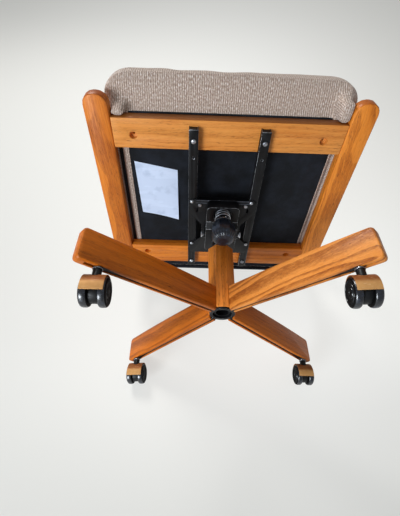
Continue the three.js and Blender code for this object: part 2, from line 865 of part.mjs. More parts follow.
// Rings of a cushion whose sides pull in between their corners, from its foot to its crown.
function cushionRings(halfWidth, halfDepth, foot, top, crown, points = 40, squareness = 0.22) {
  const power = (value) => Math.sign(value) * Math.abs(value) ** squareness;
  return cushionShares.map(([up, out]) =>
    Array.from({ length: points }, (_, i) => {
      const angle = (2 * Math.PI * (i + 0.5)) / points;
      const [u, v] = [power(Math.cos(angle)), power(Math.sin(angle))];
      const x = halfWidth * out * u * (1 - pull.side * (1 - v * v));
      const y = halfDepth * out * v * (1 - pull.end * (1 - u * u));
      const lift = up === 1 ? crown * (1 - out * out) : 0;
      return new THREE.Vector3(x, y, foot + up * (top - foot) + lift);
    }),
  );
}

const railTop = seat.height + clearance;
const plyFoot = railTop + cover.thickness + clearance;
const coverHalf = seat.innerHalf - cover.inset;
const coverFront = frontEdge + cover.endsIn;
const coverRear = rearEdge - cover.endsIn;

function seatCushionGeometry() {
  const front = seat.front - cushion.overFront;
  const rear = rearEdge - cushion.rearIn;
  const body = loft(
    cushionRings(cushionHalf, (rear - front) / 2, cushion.foot, cushion.top, cushion.crown),
  ).translate(0, (front + rear) / 2, 0);
  const over = frontEdge - 2 * clearance;
  const frame = box(-outerHalf, outerHalf, over, rear + overrun, -overrun, railTop);
  const inner = seat.innerHalf - clearance;
  const boards = [
    box(-outerHalf, -inner, front - overrun, rear + overrun, -overrun, railTop),
    box(inner, outerHalf, front - overrun, rear + overrun, -overrun, railTop),
  ];
  const recess = box(
    -coverHalf - clearance,
    coverHalf + clearance,
    coverFront - clearance,
    coverRear + clearance,
    0,
    plyFoot + ply.thickness + clearance,
  );
  const lipZ = railTop - undercut.drop;
  const under = outline([
    [front, -overrun],
    [frontEdge, -overrun],
    [frontEdge, lipZ],
    [frontEdge - undercut.lip, lipZ],
    [front, lipZ + undercut.rise],
  ]);
  const folds = [-1, 1].map((side) => {
    const outer = side * (seat.innerHalf - tuck.fromBoard);
    const x = [outer, outer - side * tuck.width].sort((a, b) => a - b);
    return box(...x, over - tuck.depth, over, tuck.foot, lipZ + tuck.depth);
  });
  const trimmed = cut(body, frame, recess, ...boards, sideSlab(under, 0, 2 * outerHalf));
  return join(trimmed, ...folds);
}

const coverOutline = () =>
  roundedOutline(-coverHalf, coverHalf, coverFront, coverRear, ply.corner);
const coverGeometry = () => slab(coverOutline(), cover.thickness).translate(0, 0, railTop);
const seatBaseGeometry = () => slab(coverOutline(), ply.thickness).translate(0, 0, plyFoot);

// Back and arms. The back is drawn upright and then reclined behind the frame.

const backFrame = new THREE.Matrix4()
  .makeTranslation(0, backY, 0)
  .multiply(new THREE.Matrix4().makeRotationX(-back.recline));

function backPostGeometry(side) {
  const heel = seat.height * Math.tan(back.recline);
  const shape = new THREE.Shape();
  shape.moveTo(0, 0);
  shape.lineTo(back.postDepth, 0);
  shape.quadraticCurveTo(
    back.postDepth,
    post.height / 2,
    post.topLean + post.topDepth,
    post.height - post.crownCorner,
  );
  shape.quadraticCurveTo(
    post.topLean + post.topDepth,
    post.height,
    post.topLean + post.topDepth - post.crownCorner,
    post.height,
  );
  shape.lineTo(post.topLean + post.arris, post.height);
  shape.lineTo(post.topLean, post.height - post.arris);
  shape.quadraticCurveTo(0, post.height / 2, 0, post.heelTop);
  shape.quadraticCurveTo(0, 2 * seat.height, -heel, seat.height);
  const x = side * (backInner + back.postWidth / 2);
  const upright = sideSlab(shape, x, back.postWidth, post.arris, 6);
  const levelFoot = box(-outerHalf, outerHalf, -overrun, 2 * back.postDepth, -overrun, 0);
  const placed = upright.applyMatrix4(backFrame);
  const ahead = box(-outerHalf, outerHalf, 0, seat.rear + clearance, -overrun, seat.height);
  return cut(placed, levelFoot.translate(0, backY, 0), ahead);
}

function crestGeometry() {
  const half = backInner - clearance;
  const shape = new THREE.Shape();
  shape.moveTo(-half, crestFoot);
  shape.quadraticCurveTo(0, crestFoot + crest.arch / 2, half, crestFoot);
  shape.lineTo(half, crestFoot + crest.height);
  shape.quadraticCurveTo(0, crestFoot + crest.height + 2 * crest.arch, -half, crestFoot + crest.height);
  return slab(shape, crest.depth, crest.arris, 12)
    .rotateX(Math.PI / 2)
    .translate(0, crest.set + crest.depth, 0)
    .applyMatrix4(backFrame);
}

const padHalf = backInner - backPad.inset;
const padTop = crestFoot - backPad.underCrest;

function backPadGeometry() {
  const half = (padTop - backPad.foot) / 2;
  return loft(cushionRings(padHalf, half, 0, backPad.depth, backPad.crown))
    .rotateX(Math.PI / 2)
    .translate(0, backPad.depth, backPad.foot + half)
    .applyMatrix4(backFrame);
}

function backBoardGeometry() {
  const shape = roundedOutline(-padHalf, padHalf, backPad.foot, padTop, backBoard.corner);
  return slab(shape, backBoard.thickness)
    .rotateX(Math.PI / 2)
    .translate(0, backPad.depth + clearance + backBoard.thickness, 0)
    .applyMatrix4(backFrame);
}

const boardMiddle = seat.innerHalf + seat.boardWidth / 2;

function armGeometry(side) {
  const x = side * boardMiddle;
  const far = backY + arm.underside;
  const shape = roundedOutline(x - arm.width / 2, x + arm.width / 2, arm.front, far, arm.nose);
  const solid = slab(shape, arm.thickness, arm.arris).translate(0, 0, arm.underside);
  const behind = box(-outerHalf, outerHalf, -clearance, far, 0, post.height);
  return cut(solid, behind.applyMatrix4(backFrame));
}

function armPostGeometry(side) {
  const foot = seat.height + clearance;
  const top = arm.underside - clearance;
  const middle = (foot + top) / 2;
  const shape = new THREE.Shape();
  shape.moveTo(armPost.footY, foot);
  shape.quadraticCurveTo(armPost.footY - armPost.bow, middle, armPost.topY, top);
  shape.lineTo(armPost.topY - armPost.topDepth, top);
  shape.quadraticCurveTo(
    armPost.footY - armPost.depth - armPost.bow,
    middle,
    armPost.footY - armPost.depth,
    foot,
  );
  const x = side * (cushionHalf + armPost.offCushion + armPost.width / 2);
  return sideSlab(shape, x, armPost.width, armPost.arris, 6);
}

// The chair

function piece(name, geometry, material) {
  const flat = geometry.index ? geometry.toNonIndexed() : geometry;
  flat.computeVertexNormals();
  const mesh = new THREE.Mesh(flat, material);
  mesh.name = name;
  return mesh;
}

const sides = { left: -1, right: 1 };
const bothSides = (name, make, material) =>
  Object.entries(sides).map(([side, sign]) => piece(`${name}_${side}`, make(sign), material));

const base = new THREE.Group();
base.rotation.z = stance.baseTurn;
base.add(
  piece("octagon_column", columnGeometry(), oak),
  piece("base_spider", spiderGeometry(), blackSteel),
  piece("lower_bush", lowerBush(), nylon),
  piece("upper_bush", upperBush(), nylon),
);
for (const [place, { angle, reach }] of Object.entries(legPlaces)) {
  const mesh = piece(`leg_${place}`, legGeometry(reach), oak);
  mesh.rotation.z = angle;
  const caster = new THREE.Group();
  caster.position.set(reach * Math.cos(angle), reach * Math.sin(angle), 0);
  caster.rotation.z = casterTurn[place] - stance.baseTurn;
  caster.add(
    piece(`caster_stem_${place}`, stemGeometry(reach), brightSteel),
    piece(`caster_fork_${place}`, forkGeometry(reach), blackPlastic),
    piece(`caster_hood_${place}`, hoodGeometry(), brass),
    ...bothSides(`wheel_${place}`, wheelGeometry, blackPlastic),
  );
  base.add(mesh, caster);
}

const coil = springPoints();
const coilGap = leastGap(coil, spring.wire, spring.steps / 2);
console.log(`tension spring, least gap to itself: ${coilGap.toFixed(2)} mm`);

const swivel = new THREE.Group();
swivel.add(
  piece("spindle", spindleGeometry(), brightSteel),
  piece("swivel_pan", panGeometry(), blackSteel),
  piece("tilt_pin", pinGeometry(), brightSteel),
  piece("tension_bolt", boltGeometry(), brightSteel),
  piece("spring_washer", washerGeometry(), brightSteel),
  piece("tension_knob", knobGeometry(), blackPlastic),
  piece("tension_spring", wire(coil, spring.wire / 2, spring.sides), brightSteel),
);

const frame = new THREE.Group();
frame.position.z = stance.frameHeight;
frame.rotation.x = -stance.seatPitch;
frame.add(
  piece("tilt_plate", plateGeometry(), blackSteel),
  ...bothSides("seat_channel", channelGeometry, blackSteel),
  ...bothSides("channel_screw_front", (side) => screwGeometry(side, screwFrontY), brightSteel),
  ...bothSides("channel_screw_rear", (side) => screwGeometry(side, screwRearY), brightSteel),
  ...bothSides("side_board", sideBoardGeometry, oak),
  piece(
    "front_rail",
    railGeometry(frontEdge, frontEdge + rail.depth, frontEdge + counterbore.frontIn, screwFrontY),
    oak,
  ),
  piece(
    "rear_rail",
    railGeometry(rearEdge - rail.depth, rearEdge, rearEdge - counterbore.rearIn, screwRearY),
    oak,
  ),
  piece("dust_cover", coverGeometry(), blackCloth),
  piece("seat_base", seatBaseGeometry(), plywood),
  piece("seat_cushion", seatCushionGeometry(), tweed),
  ...bothSides("back_post", backPostGeometry, oak),
  piece("crest_rail", crestGeometry(), oak),
  piece("back_cushion", backPadGeometry(), tweed),
  piece("back_board", backBoardGeometry(), blackCloth),
  ...bothSides("arm", armGeometry, oak),
  ...bothSides("arm_post", armPostGeometry, oak),
);

// The origin is on the floor, under the middle of the chair's bounding box.
const chair = new THREE.Group().add(base, swivel, frame);
chair.updateMatrixWorld(true);
const bounds = new THREE.Box3().setFromObject(chair, true);
const middle = bounds.getCenter(new THREE.Vector3());
chair.position.set(-middle.x, -middle.y, -bounds.min.z);

export default new THREE.Group().add(chair);
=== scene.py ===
import json
import math
import bmesh
import bpy
from mathutils import Euler, Matrix, Vector, noise

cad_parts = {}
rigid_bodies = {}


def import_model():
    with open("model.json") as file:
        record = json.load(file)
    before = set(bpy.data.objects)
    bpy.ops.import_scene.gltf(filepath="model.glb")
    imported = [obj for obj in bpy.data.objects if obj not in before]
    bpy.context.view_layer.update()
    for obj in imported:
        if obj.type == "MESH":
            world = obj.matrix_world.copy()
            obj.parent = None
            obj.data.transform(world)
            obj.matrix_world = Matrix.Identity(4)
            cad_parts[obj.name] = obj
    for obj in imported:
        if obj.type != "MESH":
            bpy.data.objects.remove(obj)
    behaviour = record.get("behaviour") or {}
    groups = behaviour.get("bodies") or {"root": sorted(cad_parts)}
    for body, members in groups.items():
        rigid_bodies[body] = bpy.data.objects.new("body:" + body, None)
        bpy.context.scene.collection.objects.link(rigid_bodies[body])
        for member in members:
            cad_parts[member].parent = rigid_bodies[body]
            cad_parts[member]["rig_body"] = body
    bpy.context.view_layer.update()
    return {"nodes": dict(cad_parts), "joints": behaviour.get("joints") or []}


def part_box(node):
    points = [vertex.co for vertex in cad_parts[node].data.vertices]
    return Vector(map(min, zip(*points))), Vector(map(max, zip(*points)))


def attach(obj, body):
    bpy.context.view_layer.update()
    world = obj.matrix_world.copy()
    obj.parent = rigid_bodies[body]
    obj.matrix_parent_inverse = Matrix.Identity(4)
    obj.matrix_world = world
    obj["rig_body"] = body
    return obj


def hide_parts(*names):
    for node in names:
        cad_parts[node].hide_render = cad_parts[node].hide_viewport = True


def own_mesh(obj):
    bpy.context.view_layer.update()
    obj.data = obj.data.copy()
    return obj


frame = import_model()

scene = bpy.context.scene
nodes = frame["nodes"]
joints = {joint["name"]: joint for joint in frame["joints"]}
print("frame loaded")

mm = 0.001

# The seat frame is pitched over the swivel axis, and the back is reclined behind it.
stance = {"pitch": 5.8, "height": 330.32, "recline": 11, "backY": 139.3, "baseTurn": -2.7}
axisY = joints["seat_swivel"]["pos_m"][1]


def turned(degrees, axis):
    return Matrix.Rotation(math.radians(degrees), 4, axis)


def placed(x, y, z):
    return Matrix.Translation((x * mm, y * mm, z * mm))


seatMatrix = placed(0, axisY / mm, stance["height"]) @ turned(-stance["pitch"], "X")
backMatrix = seatMatrix @ placed(0, stance["backY"], 0) @ turned(-stance["recline"], "X")


# Camera
cameraSettings = {
    "place": (-64.9, -640.9, -234.3),  # from the swivel axis at the floor
    "yaw": 1.33,
    "pitch": 36.1,
    "roll": 0.8,
    "lens": 22.71,
}


def makeCamera(s):
    data = bpy.data.cameras.new("camera")
    data.lens = s["lens"]
    data.clip_start = 0.01
    camera = bpy.data.objects.new("camera", data)
    scene.collection.objects.link(camera)
    aim = turned(-s["yaw"], "Z") @ turned(90 + s["pitch"], "X") @ turned(s["roll"], "Z")
    camera.matrix_world = Matrix.Translation((0, axisY, 0)) @ placed(*s["place"]) @ aim
    scene.camera = camera


makeCamera(cameraSettings)


# Shader maths
def paint(code):
    values = [int(code[i : i + 2], 16) / 255 for i in (0, 2, 4)]
    return (*[v / 12.92 if v < 0.04045 else ((v + 0.055) / 1.055) ** 2.4 for v in values], 1)


class Field:
    # a socket of a material, so that shader maths reads as plain maths
    def __init__(self, tree, socket):
        self.tree, self.socket = tree, socket

    def node(self, kind, settings=None, inputs=None, output=0):
        made = self.tree.nodes.new("ShaderNode" + kind)
        for name, value in (settings or {}).items():
            setattr(made, name, value)
        for name, value in (inputs or {}).items():
            if isinstance(value, Field):
                self.tree.links.new(value.socket, made.inputs[name])
            else:
                made.inputs[name].default_value = value
        return Field(self.tree, made.outputs[output])

    def maths(self, operation, *values):
        return self.node("Math", {"operation": operation}, dict(enumerate(values)))

    def __add__(self, other):
        return self.maths("ADD", self, other)

    def __mul__(self, other):
        return self.maths("MULTIPLY", self, other)

    def __sub__(self, other):
        return self.maths("SUBTRACT", self, other)

    def __rsub__(self, other):
        return self.maths("SUBTRACT", other, self)

    def __truediv__(self, other):
        return self.maths("DIVIDE", self, other)

    # a smooth step from 0 at low to 1 at high
    def within(self, low, high):
        ends = {"Value": self, "From Min": low, "From Max": high}
        return self.node("MapRange", {"interpolation_type": "SMOOTHSTEP"}, ends)

    # the first colour where this is 0, the second where it is 1
    def mix(self, first, second):
        return self.node("Mix", {"data_type": "RGBA"}, {0: self, 6: first, 7: second}, 2)

    def stretched(self, x, y, z):
        return self.node("VectorMath", {"operation": "MULTIPLY"}, {0: self, 1: (x, y, z)})

    def noise(self, scale=1, detail=2, rough=0.5):
        values = {"Vector": self, "Scale": scale, "Detail": detail, "Roughness": rough}
        return self.node("TexNoise", None, values)

    def part(self, axis):
        return self.node("SeparateXYZ", None, {0: self}, axis)


def newFinish(name, **constants):
    material = bpy.data.materials.new(name)
    material.use_nodes = True
    tree = material.node_tree
    shader = tree.nodes["Principled BSDF"]
    for socket, value in constants.items():
        shader.inputs[socket.replace("_", " ")].default_value = value
    place = Field(tree, tree.nodes.new("ShaderNodeTexCoord").outputs["Object"])
    return material, place


# Links fields to the shader, and a height in metres to its bump.
def dress(material, height=None, strength=0.6, **links):
    tree = material.node_tree
    shader = tree.nodes["Principled BSDF"]
    for socket, field in links.items():
        tree.links.new(field.socket, shader.inputs[socket.replace("_", " ")])
    if height:
        bump = height.node("Bump", None, {"Height": height, "Strength": strength, "Distance": 1})
        tree.links.new(bump.socket, shader.inputs["Normal"])
    return material


# Finishes; heights are in metres
oakTones = {
    "honey": {"light": "db8028", "deep": "c26515", "ring": "8b3d09", "pore": "5e2904"},
    "light": {"light": "e88e33", "deep": "d0741d", "ring": "994a0f", "pore": "682f07"},
    "pale": {"light": "dd9346", "deep": "cc7b31", "ring": "a2581d", "pore": "763d10"},
    "straw": {"light": "dd9044", "deep": "cb772a", "ring": "8b4613", "pore": "60300b"},
    "amber": {"light": "f0923a", "deep": "d97822", "ring": "97490b", "pore": "642f05"},
    "russet": {"light": "ce7018", "deep": "b2590d", "ring": "783807", "pore": "4c2102"},
}
oakFigure = {
    "rings": 95,  # per metre from the pith
    "uneven": 1.4,
    "sway": 10,  # mm that a ring wanders
    "tilt": (0, 2, 3),
    "pith": (0, 62, 45),
    "contrast": 0.7,
    "tone": "honey",
    "paintedShade": None,  # (direction, place in mm, share) of a face that gets painted shade
    "endShade": 0,
}


# The grain runs along one direction of the piece, round a pith that lies outside it.
def oakFinish(node, grain, **changes):
    s = {**oakFigure, **changes}
    tones = {name: paint(code) for name, code in oakTones[s["tone"]].items()}
    low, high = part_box(node)
    turn = Euler([math.radians(a) for a in s["tilt"]]).to_quaternion()
    turn = turn @ Vector(grain).rotation_difference(Vector((1, 0, 0)))
    start = Vector(s["pith"]) * mm - turn @ ((low + high) / 2)
    material, place = newFinish(
        "oak_" + node, Coat_Weight=0.05, Coat_Roughness=0.3, Specular_IOR_Level=0.22
    )
    values = {"Vector": place, "Location": start, "Rotation": turn.to_euler()}
    along = place.node("Mapping", {"vector_type": "POINT"}, values)
    sway = (along.stretched(5, 16, 16).noise(1, 2) - 0.5) * (s["sway"] * 2 * mm)
    reach = along.stretched(0.05, 1, 1)
    reach = reach.node("VectorMath", {"operation": "LENGTH"}, {0: reach}, 1) + sway
    years = reach.node("CombineXYZ", None, {0: reach * (s["rings"] * 0.45)}).noise(1, 1)
    turns = reach * s["rings"] + years * (s["uneven"] * 2)
    ring = turns.maths("FRACT", turns)
    late = ring.within(0.3, 0.9) * (1 - ring.within(0.93, 1))
    fibre = along.stretched(14, 420, 420).noise(1, 3, 0.6)
    pores = along.stretched(70, 1300, 1300).noise(1, 1).within(0.58, 0.7)
    patch = along.stretched(6, 22, 22).noise(1, 2).within(0.35, 0.68)
    tone = (fibre.within(0.3, 0.7) * 0.55 + patch * 0.45).mix(tones["light"], tones["deep"])
    broken = fibre.within(0.25, 0.6) * 0.5 + 0.5
    tone = (late * broken * (patch * 0.3 + 0.7) * s["contrast"]).mix(tone, tones["ring"])
    tone = (pores * (late * 0.55 + 0.25)).mix(tone, tones["pore"])
    # Painted shade: the chosen face is darkened towards the pore tone.
    if s["paintedShade"]:
        direction, edge, share = s["paintedShade"]
        ahead = place.node("VectorMath", {"operation": "DOT_PRODUCT"}, {0: place, 1: direction}, 1)
        face = ahead.within((edge - 0.6) * mm, (edge + 0.2) * mm) * share
        tone = face.mix(tone, tones["pore"])
    if s["endShade"]:
        end = place.node("Attribute", {"attribute_name": "end"}, None, "Fac")
        tone = (end * s["endShade"]).mix(tone, tones["ring"])
    height = fibre * 0.00012 - pores * 0.0002
    return dress(material, height, Base_Color=tone, Roughness=fibre * 0.2 + 0.32)


# Black paint, rubbed through to bare steel at the edges.
def enamelFinish(name, dark="07080a", light="0e0f12", rough=0.36, rub=0.5):
    material, place = newFinish(name, Specular_IOR_Level=0.22)
    wear = place.node("Attribute", {"attribute_name": "wear"}, None, "Fac")
    chips = place.noise(170, 3, 0.65).within(rub - 0.02, rub + 0.05) * wear
    haze = place.noise(28, 4, 0.6).within(0.35, 0.7)
    tone = chips.mix(haze.mix(paint(dark), paint(light)), paint("a8abb0"))
    peel = place.noise(700, 2) * 0.00004 - chips * 0.00005
    return dress(material, peel, Base_Color=tone, Metallic=chips, Roughness=haze * 0.2 + rough)


def platedFinish(name, low="84878e", high="c4c7cd", rough=0.26, speck=0.0):
    material, place = newFinish(name, Metallic=1.0)
    stain = place.noise(60, 4, 0.6).within(0.3, 0.7)
    pits = place.noise(420, 3, 0.6).within(0.58, 0.7)
    tone = stain.mix(paint(high), paint(low))
    if speck:
        tone = (pits * speck).mix(tone, paint("4a3a2c"))
    height = pits * -0.00004
    return dress(material, height, Base_Color=tone, Roughness=stain * 0.2 + rough)


# Gilt steel, brown over the top of each hood: a painted reflection of the oak leg above it, and
# painted shade.
def giltFinish(name):
    material, place = newFinish(name, Metallic=0.25, Specular_IOR_Level=0.3)
    height = place.part(2).within(0.026, 0.034)
    stain = place.noise(90, 4, 0.6).within(0.35, 0.7)
    scratch = place.stretched(60, 900, 900).noise(1, 2).within(0.62, 0.68)
    # painted reflection and shade: brown above this height, gilt below
    tone = height.mix(paint("c79459"), paint("8e4f1e"))
    tone = (stain * 0.35).mix(tone, paint("b07f4c"))
    tone = (scratch * 0.3).mix(tone, paint("ecd3ad"))
    return dress(material, scratch * -0.00003, Base_Color=tone, Roughness=stain * 0.14 + 0.55)


# Moulded plastic with scuffs and dust; on the wheels and the knob their lighter bluish tone is
# painted sheen, a painted reflection.
def mouldedFinish(name, base, dustAndSheen, rough, gloss=0.3):
    material, place = newFinish(name, Specular_IOR_Level=gloss)
    scuffAndSheen = place.stretched(1, 1, 2.5).noise(130, 4, 0.65).within(0.5, 0.72)
    grain = place.noise(1500, 2)
    tone = (scuffAndSheen * 0.6).mix(paint(base), paint(dustAndSheen))
    height = grain * 0.00003 + scuffAndSheen * 0.00003
    return dress(material, height, Base_Color=tone, Roughness=scuffAndSheen * 0.3 + rough)


# Ribbed chenille. Its ribs run along v of the piece's own map, which is in metres.
tweed = {"pitch": 4.3, "tuft": 4.6, "wander": 1.5}


def tweedFinish(name, s):
    material, place = newFinish(
        name, Specular_IOR_Level=0.2, Sheen_Weight=0.25, Sheen_Roughness=0.5
    )
    cloth = place.node("UVMap", {"uv_map": "cloth"})
    u, v = cloth.part(0), cloth.part(1)
    wander = cloth.stretched(34, 14, 1).noise(1, 2) * s["wander"] * mm
    turns = (u + wander) * (2 * math.pi / (s["pitch"] * mm))
    ribs = turns.maths("SINE", turns) * 0.5 + 0.5
    tufts = cloth.stretched(1 / (0.45 * s["pitch"] * mm), 1 / (s["tuft"] * mm), 1).noise(1, 2, 0.6)
    fuzz = cloth.stretched(900, 700, 1).noise(1, 2, 0.7)
    shade = cloth.stretched(9, 9, 1).noise(1, 2).within(0.3, 0.7)
    tone = tufts.within(0.36, 0.6).mix(paint("9c8678"), paint("cfbbac"))
    tone = (tufts.within(0.55, 0.66) * fuzz.within(0.35, 0.6)).mix(tone, paint("f0e8e4"))
    tone = ((1 - ribs).within(0.5, 1) * 0.62).mix(tone, paint("6c5a4f"))
    tone = (shade * 0.18).mix(tone, paint("aa9688"))
    height = ribs * 0.0008 + tufts * 0.0009 + fuzz * 0.0003
    return dress(material, height, 0.9, Base_Color=tone, Roughness=fuzz * 0.1 + 0.85)


def cambricFinish(name):
    material, place = newFinish(name, Specular_IOR_Level=0.15, Sheen_Weight=0.06)
    cloud = place.noise(16, 4, 0.6).within(0.35, 0.7)
    threads = place.stretched(1900, 1900, 300).noise(1, 2)
    lint = place.noise(900, 2, 0.7).within(0.68, 0.75)
    tone = cloud.mix(paint("0d0f13"), paint("1a1e26"))
    tone = (lint * 0.5).mix(tone, paint("59606c"))
    height = threads * 0.00012 + cloud * 0.0004
    return dress(material, height, Base_Color=tone, Roughness=threads * 0.15 + 0.72)


def paperFinish(name):
    material, place = newFinish(name, Specular_IOR_Level=0.2)
    fibre = place.noise(600, 4, 0.7)
    crease = place.stretched(10, 55, 10).noise(1, 3).within(0.47, 0.5) * 0.5
    grime = place.noise(40, 3).within(0.5, 0.75)
    tone = (grime * 0.5 + crease * 0.3).mix(paint("cbd7ec"), paint("a5b3ca"))
    height = fibre * 0.00008 + crease * 0.0003
    return dress(material, height, Base_Color=tone, Roughness=fibre * 0.1 + 0.7)


def plywoodFinish(name):
    material, place = newFinish(name)
    fibre = place.stretched(500, 14, 500).noise(1, 3)
    ply = place.stretched(1, 1, 3).part(2).maths("MODULO", place.part(2), 0.002).within(0, 0.001)
    tone = fibre.within(0.3, 0.7).mix(paint("c39a67"), paint("a97f4e"))
    tone = (ply * 0.3).mix(tone, paint("8a6338"))
    return dress(material, fibre * 0.0001, Base_Color=tone, Roughness=fibre * 0.1 + 0.6)


enamel = enamelFinish("black_enamel")
wornEnamel = enamelFinish("rubbed_black_enamel", rub=0.42)
# The beads' enamel is painted lighter grey: a painted highlight along their ridges.
beadHighlightEnamel = enamelFinish("bead_enamel_painted_highlight", "2b2d33", "50535b")
darkSteel = enamelFinish("spindle_steel", "070708", "0f1013", rough=0.4)
zinc = platedFinish("zinc_plate")
springSteel = platedFinish("spring_steel", "62656c", "b2b5bb", 0.24, 0.3)
gilt = giltFinish("gilt_steel")
# One wheel plastic in two copies: the treads' bluish copy is painted reflection, the sides' darker,
# duller copy is painted shade.
wheelSheenBlack = mouldedFinish("wheel_plastic_painted_sheen", "0a0e17", "1e2a42", 0.24, 0.85)
forkBlack = mouldedFinish("fork_plastic", "07080a", "111319", 0.45, 0.3)
wheelShadedSide = mouldedFinish("wheel_side_painted_shade", "060607", "100f0f", 0.6, 0.08)
# The knob's bluish black and its lighter bluish tone are painted reflection.
knobSheenBlack = mouldedFinish("knob_plastic_painted_sheen", "0f151f", "38465c", 0.3, 0.55)
nylonBlack = mouldedFinish("nylon", "08090b", "101114", 0.55)
chenille = tweedFinish("ribbed_chenille", tweed)
cambric = cambricFinish("black_cambric")
paper = paperFinish("plain_tag")
plywood = plywoodFinish("plywood")
print("finishes made")


# Making pieces
def addPiece(name, bm, body, finish, replaced=(), sharp=35):
    mesh = bpy.data.meshes.new(name)
    bm.to_mesh(mesh)
    bm.free()
    mesh.shade_smooth()
    mesh.set_sharp_from_angle(angle=math.radians(sharp))
    mesh.materials.append(finish)
    piece = bpy.data.objects.new(name, mesh)
    scene.collection.objects.link(piece)
    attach(piece, body)
    if replaced:
        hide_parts(*replaced)
    return piece


def addBlock(bm, matrix, size):
    bmesh.ops.create_cube(bm, size=mm, matrix=matrix @ Matrix.Diagonal((*size, 1)))


def bevelled(bm, edges, offset, segments=2):
    return bmesh.ops.bevel(
        bm, geom=edges, offset=offset * mm, affect="EDGES", segments=segments,
        profile=0.5, material=-1, clamp_overlap=True, loop_slide=True,
    )


flatAngle = 0.4  # degrees; triangles that meet at less are one face
endGrain = {"from": 0.3, "over": 0.4}  # how far a face looks along the grain


# A frame node's mesh, its triangles joined into faces.
def nodeMesh(node):
    bm = bmesh.new()
    bm.from_mesh(nodes[node].data)
    bmesh.ops.remove_doubles(bm, verts=bm.verts, dist=2e-6)
    bmesh.ops.dissolve_limit(
        bm, angle_limit=math.radians(flatAngle), verts=bm.verts, edges=bm.edges
    )
    return bm


# A frame node again, with its edges eased and worn.
def easedCopy(node, finish, ease=0.4, angle=32, segments=2, grain=None):
    bm = nodeMesh(node)
    wear = bm.faces.layers.float.new("wear")
    corners = [
        edge for edge in bm.edges
        if len(edge.link_faces) == 2 and edge.calc_face_angle() > math.radians(angle)
    ]
    made = bevelled(bm, corners, ease, segments)
    for face in made["faces"]:
        face[wear] = 1
    if grain:
        end = bm.faces.layers.float.new("end")
        for face in bm.faces:
            share = (face.normal.dot(grain) - endGrain["from"]) / endGrain["over"]
            face[end] = max(0, min(1, share))
    body = nodes[node]["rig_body"]
    return addPiece(node + "_eased", bm, body, finish, [node])


# Spins an outline of (radius, height) in mm; a third number rounds that corner.
def spun(outline, steps=48, matrix=Matrix()):
    bm = bmesh.new()
    points = [bm.verts.new((row[0] * mm, 0, row[1] * mm)) for row in outline]
    edges = [bm.edges.new(pair) for pair in zip(points, points[1:])]
    bmesh.ops.spin(
        bm, geom=points + edges, cent=(0, 0, 0), axis=(0, 0, 1),
        angle=2 * math.pi, steps=steps, use_merge=True,
    )
    bmesh.ops.remove_doubles(bm, verts=bm.verts, dist=1e-6)
    for radius, height, *soft in outline:
        if soft:
            ring = [
                edge for edge in bm.edges
                if all(
                    abs(v.co.xy.length - radius * mm) < 1e-6 and abs(v.co.z - height * mm) < 1e-6
                    for v in edge.verts
                )
            ]
            bevelled(bm, ring, soft[0], 4)
    bmesh.ops.recalc_face_normals(bm, faces=bm.faces)
    bmesh.ops.transform(bm, matrix=matrix, verts=bm.verts)
    return bm


def joined(*parts):
    whole = parts[0]
    for part in parts[1:]:
        spare = bpy.data.meshes.new("part")
        part.to_mesh(spare)
        part.free()
        whole.from_mesh(spare)
        bpy.data.meshes.remove(spare)
    return whole


# Oak
legs = {
    "front_left": {"tone": "russet", "contrast": 0.3, "rings": 70, "pith": (20, 40, 120)},
    "front_right": {
        "tone": "straw", "contrast": 1.0, "rings": 62, "sway": 16, "pith": (0, 20, 60),
        "tilt": (0, 6, 10),
    },
    "rear_left": {
        "tone": "russet", "contrast": 0.75, "rings": 60, "sway": 18, "pith": (40, 26, 60),
    },
    "rear_right": {"tone": "russet", "contrast": 0.25, "rings": 80, "pith": (70, 40, 140)},
}
legAngles = {"front_left": -135, "front_right": -45, "rear_left": 135, "rear_right": 45}
legGrain = Vector((1, 0, -0.07))  # outwards and a little down

boards = {
    "left": {
        "tone": "honey", "contrast": 0.7, "rings": 75, "sway": 13, "pith": (0, 20, 70),
        "endShade": 0.7,
    },
    "right": {
        "tone": "light", "contrast": 0.6, "rings": 105, "sway": 16, "pith": (60, 16, 50),
        "tilt": (0, 3, 5), "endShade": 0.7,
    },
}
columnFigure = {"tone": "amber", "pith": (0, 50, 44), "contrast": 0.45, "sway": 14}
frontPaintedShade = {"depth": 0.5, "share": 0.75}  # painted shade on the front rail's front face, which the cushion's nose overhangs


def makeOak():
    for place, figure in legs.items():
        out = turned(legAngles[place] + stance["baseTurn"], "Z").to_3x3() @ legGrain
        node = "leg_" + place
        easedCopy(node, oakFinish(node, out, **figure), 0.5)
    easedCopy("octagon_column", oakFinish("octagon_column", (0, 0, 1), **columnFigure), 0.5)
    forward = seatMatrix.to_3x3() @ Vector((0, 1, 0))
    upward = backMatrix.to_3x3() @ Vector((0, 0, 1))
    for i, side in enumerate(("left", "right")):
        for node, grain, figure in (
            ("side_board_", forward, boards[side]),
            ("back_post_", upward, {"pith": (60 * i, 44, 30), "contrast": 0.6}),
            ("arm_", forward, {"pith": (25 * i, 20, 60), "contrast": 0.6}),
            ("arm_post_", Vector((0, 0.1, 1)), {"pith": (15 * i, 26, 38), "contrast": 0.6}),
        ):
            easedCopy(node + side, oakFinish(node + side, grain, **figure), 0.5, grain=-grain)
    for i, node in enumerate(("front_rail", "rear_rail", "crest_rail")):
        figure = {"pith": (50 * i, 120, 160), "contrast": 0.35, "rings": 120}
        # The front rail's front face gets painted shade, standing in for the shadow under the
        # cushion's nose.
        if node == "front_rail":
            edge = max(-v.co.dot(forward) for v in nodes[node].data.vertices) / mm
            paintedShade = (tuple(-forward), edge - frontPaintedShade["depth"], frontPaintedShade["share"])
            figure.update({"tone": "pale", "paintedShade": paintedShade})
        easedCopy(node, oakFinish(node, (1, 0, 0), **figure), 0.5)
    print("oak pieces made")


makeOak()


